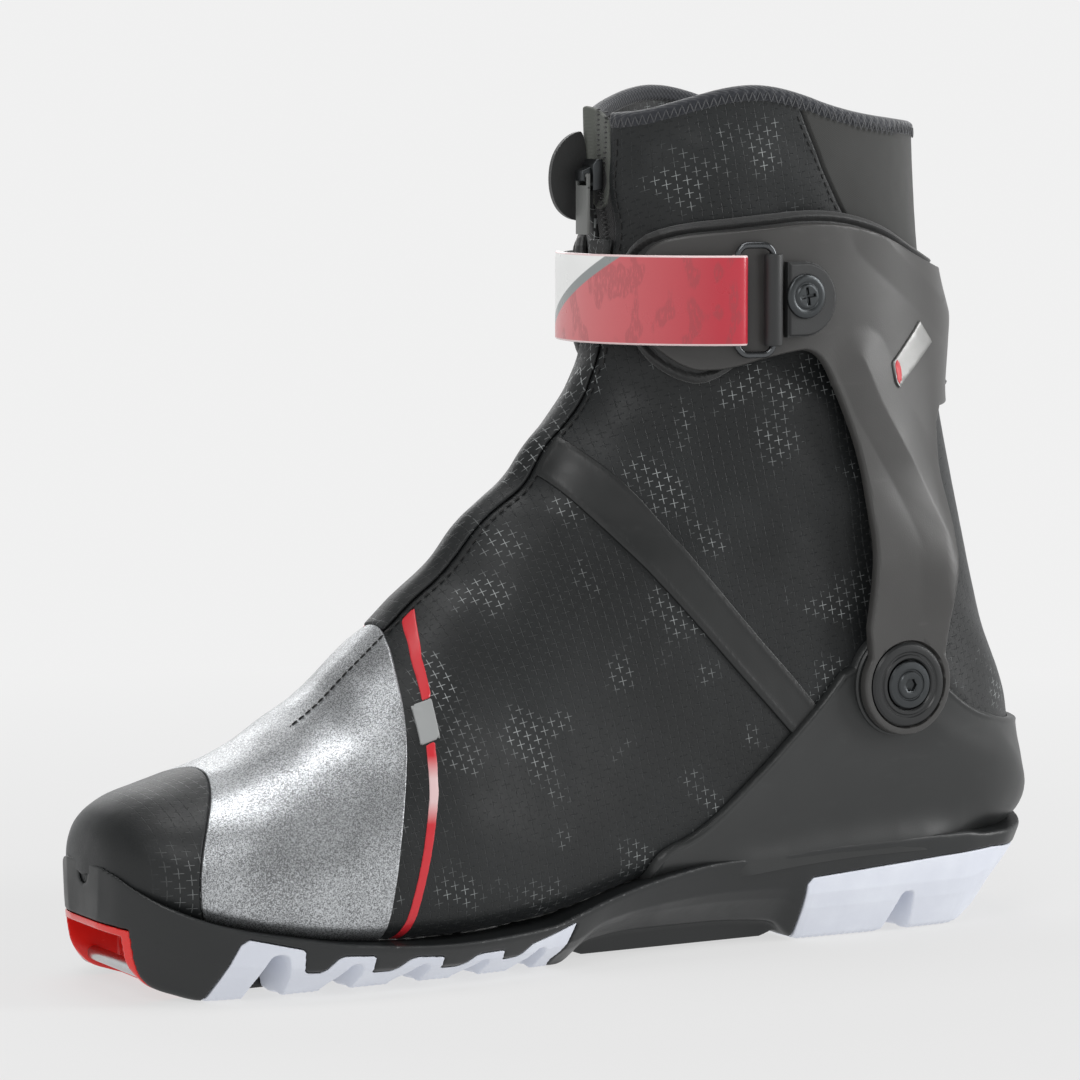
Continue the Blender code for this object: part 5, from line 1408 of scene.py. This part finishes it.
TOE_BAR_X, TOE_BAR_Z = -141.0, 7.0
CAVITY_Y, CAVITY_BACK, CAVITY_TOP = 21.0, -131.0, (21.0, 16.0)
TREAD_INNER = 18.0      # the forefoot treads' inner faces
BEYOND = 60.0           # past the sole's widest place


def sole_envelope(name, look):
    """Outer shape of the whole sole, lofted from toe to heel."""
    steps = np.linspace(0, len(SOLE) - 1, 6 * (len(SOLE) - 1) + 1)
    rings = []
    for x, z0, z1, top, bottom in along_table(SOLE, steps):
        inside = smoothstep(-16, -8, x) * (1 - smoothstep(52, 60, x))
        rib_z, rib = z0 + (1 - z0) * inside, min(22, bottom - 4)
        wall_upper = (top * .86 + bottom * .14, z1 - (z1 - z0) * .3)
        wall_lower = (top * .7 + bottom * .3, z1 - (z1 - z0) * .55)
        half = polyline([(top - .8, z1), (top, z1 - .8), wall_upper, wall_lower,
                         (bottom + .6, z0 + 1.6), (bottom - 1, z0), (rib + 1.2, z0),
                         (rib, rib_z)], round_off=1)
        rings.append([(x, y, z) for y, z in half] + [(x, -y, z) for y, z in half[::-1]])
    return loft(name, rings, look)


def apply_modifiers(obj):
    """Make what an object's modifiers give its own mesh."""
    result = bpy.data.meshes.new_from_object(
        obj.evaluated_get(bpy.context.evaluated_depsgraph_get()))
    obj.modifiers.clear()
    obj.data = result


def combine(obj, tool, operation="DIFFERENCE"):
    """Cut obj with tool, or keep what both share. The tool is used up."""
    modifier = obj.modifiers.new(operation.lower(), "BOOLEAN")
    modifier.operation, modifier.object = operation, tool
    apply_modifiers(obj)
    bpy.data.objects.remove(tool)


def softened(obj, voxel, rounds, share):
    """Round every edge a little: remesh, smooth, then thin out flat regions."""
    for kind, settings in (("REMESH", {"mode": "VOXEL", "voxel_size": voxel * MM}),
                           ("SMOOTH", {"iterations": rounds, "factor": .5}),
                           ("DECIMATE", {"ratio": share})):
        modifier = obj.modifiers.new(kind.lower(), kind)
        for key, value in settings.items():
            setattr(modifier, key, value)
    look = obj.data.materials[0]
    apply_modifiers(obj)
    obj.data.materials.clear()
    obj.data.materials.append(look)
    obj.data.shade_smooth()
    return obj


def wall(outline, y0, y1):
    """Sharp-edged tool with a side-view outline."""
    return block("tool", outline, y0, y1, "sole")


def side_wall(outline, sign, near, far):
    """Such a tool on one side of the sole."""
    return wall(outline, *sorted((sign * near, sign * far)))


def foot_plug(depth):
    """Closed solid of the last up to the ankle."""
    t, s = even_t(0, 14, 4), np.linspace(-1, 1, 72, endpoint=False)
    points = last_grid(t, s)
    rings = points + grid_normals(points, True) * depth
    return loft("plug", rings, "sole")


def cavity(shrink):
    """Side-view outline of the toe's pocket, drawn in by a distance."""
    high, low = (z - shrink for z in CAVITY_TOP)
    back = CAVITY_BACK - shrink
    return [(-160, -6), (-160, high), (-152, high), (back, low), (back, -6)]


def serrate(obj, pitch=2.1, height=.6):
    """Fine rounded waves across the treads' undersides."""
    for v in obj.data.vertices:
        x, y, z = (c / MM for c in v.co)
        wave = .5 - .5 * math.cos(2 * math.pi * (x + .25 * y) / pitch)
        v.co.z += height * MM * wave * (1 - min(1, max(0, z / 1.6)))


def make_sole():
    """Rubber sole, its treads, the toe's lining and bar, all cut from one envelope."""
    voxel = .5
    sole = sole_envelope("sole_body", "sole")
    combine(sole, foot_plug(.25))
    seat = [(-130.5, -6), (-130.5, 0)] + [(x, z + .25) for x, z in LUG_TOP[2:-3]]
    seat += [(-20.3, 15), (-23.4, 3), (-21.5, -6)]
    for sign in (-1, 1):
        combine(sole, side_wall(seat, sign, TREAD_INNER - .3, BEYOND))
    combine(sole, wall([(x - .3 * (x < 60), z + .25) for x, z in HEEL_TREAD], -BEYOND, BEYOND))
    combine(sole, wall(cavity(0), -CAVITY_Y, CAVITY_Y))
    guide = [(-118, -6), (-118, 4), (57, 4), (57, -6)]
    for sign in (-1, 1):
        combine(sole, side_wall(guide, sign, 9, 15))
    place(softened(sole, voxel, 3, .35), "foot", ("outsole",))
    for side, sign in SIDES:
        tread = sole_envelope("forefoot_tread_" + side, "tread")
        combine(tread, side_wall(LUG_TOP, sign, TREAD_INNER, BEYOND), "INTERSECT")
        for x0, x1, z in LUG_GAPS:
            w = x1 - x0
            arch = polyline([(x0 - .2, -6), (x0, 0), (x0 + .36 * w, z - 1.2), (x0 + .5 * w, z),
                             (x1 - .3 * w, z), (x1 - .18 * w, z - 1.4), (x1, 0), (x1 + .2, -6)])
            combine(tread, wall(arch, -BEYOND, BEYOND))
        serrate(softened(tread, voxel * .6, 2, .4))
        place(tread, "foot", ("tread_forefoot_" + side,))
    heel = sole_envelope("heel_tread", "tread")
    combine(heel, wall(HEEL_TREAD, -BEYOND, BEYOND), "INTERSECT")
    combine(heel, wall([(87.6, -6), (89, 0), (93, 11.5), (94, 12.4), (96.4, 12.6), (97.2, 11.8),
                        (99, 0), (100, -6)], -BEYOND, BEYOND))
    serrate(softened(heel, voxel * .6, 2, .4))
    place(heel, "foot", ("tread_heel",))
    insert = sole_envelope("toe_lining", "red")
    wide = CAVITY_Y - .25
    combine(insert, wall(cavity(.25), -wide, wide), "INTERSECT")
    combine(insert, wall(cavity(2.2), 2.2 - wide, wide - 2.2))
    place(softened(insert, voxel * .7, 2, .5), "foot", ("toe_insert",))
    bar = turned("binding_bar", (TOE_BAR_X, TOE_BAR_Z), 1, [
        (0, -22.3), (1.6, -22.3), (2, -21.9), (2, 21.9), (1.6, 22.3), (0, 22.3)],
        "steel", 40)
    place(bar, "foot", ("toe_bar",))
    make_rim_glue()


def make_rim_glue():
    """Thin uneven line of glue where the upper meets the sole's rim."""
    low = rim_height(SOFT)
    for side, sign in SIDES:
        points = []
        for row in range(len(TS)):
            cols = np.where(np.sign(SOFT.points[row, :, 1]) == sign)[0]
            cols = cols[np.argsort(np.abs(AROUND[cols]))]
            h = low[row, cols]
            cross = np.where((h[:-1] > 0) & (h[1:] <= 0))[0]
            if len(cross) and -144 < SOFT.points[row, cols[cross[-1]], 0] < 142:
                k = cross[-1]
                f = h[k] / (h[k] - h[k + 1])
                a, b = cols[k], cols[k + 1]
                p = SOFT.points[row, a] * (1 - f) + SOFT.points[row, b] * f
                points.append(p + SOFT.normals[row, a] * .45)
        points = np.stack([averaged(axis, 3) for axis in np.array(points).T], axis=1)
        points[:, 2] += .18 * np.sin(points[:, 0] * 1.3) + .12 * np.sin(points[:, 0] * .37)
        line = swept("rim_glue_" + side, points, .42, "glue", 8)
        place(line, "foot")


def make_inside():
    """Insole and tongue, and the finish of the CAD pieces that are kept inside."""
    s = np.broadcast_to(np.abs(AROUND)[None, :], SOFT.points.shape[:2])
    t = np.broadcast_to(TS[:, None], SOFT.points.shape[:2])
    ends = least((t - 2.3) * 8, (12.0 - t) * 25)
    patch = SOFT.patch(s=least(SOFT.field((s - .79) * 100), ends))
    insole = shell("footbed", patch, "s", (-9, -5.2), 1.6, "felt", middle=-8)
    place(insole, "foot", ("insole",))
    ends = least((t - 7) * 12, (16.2 - t) * 12)
    patch = SOFT.patch(s=least(SOFT.field((.2 - s) * 100), ends))
    tongue = shell("tongue_pad", patch, "s", (-11.6, -8.6), 1.5, "lining", middle=-10.1)
    place(tongue, ("foot", "cuff"), ("tongue",), FOLD)
    looks = {"lasting_board": "board", "eyestay_lateral": "webbing", "eyestay_medial": "webbing",
             "speed_lace": "stripe"}
    for node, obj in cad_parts.items():
        if node in looks or node.endswith(("nut_lateral", "nut_medial")):
            obj.data.materials.clear()
            obj.data.materials.append(LOOKS[looks.get(node, "steel")])


# ---------------------------------------------------------------- studio

def aimed(name, data, at, aim):
    """A light or camera at a place in metres, turned towards another."""
    obj = bpy.data.objects.new(name, data)
    obj.location = at
    obj.rotation_euler = (Vector(aim) - Vector(at)).to_track_quat("-Z", "Y").to_euler()
    bpy.context.scene.collection.objects.link(obj)
    return obj


def make_studio():
    """Pale seamless floor, an even surround, and four soft lights."""
    floor = bpy.data.meshes.new("floor")
    floor.from_pydata([(-9, -9, 0), (9, -9, 0), (9, 9, 0), (-9, 9, 0)], [], [(0, 1, 2, 3)])
    look = Look("floor", (.6, .6, .6), .8)
    far = look.add("VectorMath", {0: look.place}, operation="LENGTH").outputs[1]
    fade = look.step(far, 150, 650, .72, 1)
    glow = look.add("Emission", {0: (*PALE, 1), 1: 1.0}).outputs[0]
    mixed = look.add("MixShader", {0: fade, 1: look.shader.outputs[0], 2: glow}).outputs[0]
    look.set({"Specular IOR Level": 0.0})
    look.put(look.tree.nodes["Material Output"].inputs[0], mixed)
    floor.materials.append(look.material)
    ground = bpy.data.objects.new("floor", floor)
    bpy.context.scene.collection.objects.link(ground)
    world = bpy.data.worlds.new("studio")
    world.use_nodes = True
    tree = world.node_tree
    sky, height, ramp = (tree.nodes.new("ShaderNode" + kind)
                         for kind in ("TexCoord", "SeparateXYZ", "MapRange"))
    for index, value in enumerate((.16, .5, PALE[0], DIM), 1):
        ramp.inputs[index].default_value = value
    tree.links.new(sky.outputs["Generated"], height.inputs[0])
    tree.links.new(height.outputs[2], ramp.inputs[0])
    tree.links.new(ramp.outputs[0], tree.nodes["Background"].inputs[0])
    bpy.context.scene.world = world
    bpy.context.scene.view_settings.view_transform = "Standard"
    for name, at, aim, size, power in LIGHTS:
        lamp = bpy.data.lights.new(name, "AREA")
        lamp.shape, lamp.size, lamp.size_y = "RECTANGLE", *size
        lamp.energy = power
        aimed(name, lamp, at, aim)
    camera = bpy.data.cameras.new("camera")
    camera.lens, camera.sensor_width, camera.clip_start = LENS, SENSOR, .05
    bpy.context.scene.camera = aimed("camera", camera, CAMERA_AT, CAMERA_AIM)


make_studio()
make_skin()
make_collar()
make_facings()
make_bands()
make_flap()
make_heel()
make_cuff()
make_pivots()
make_strap()
make_zip()
make_stitches()
make_sole()
make_inside()
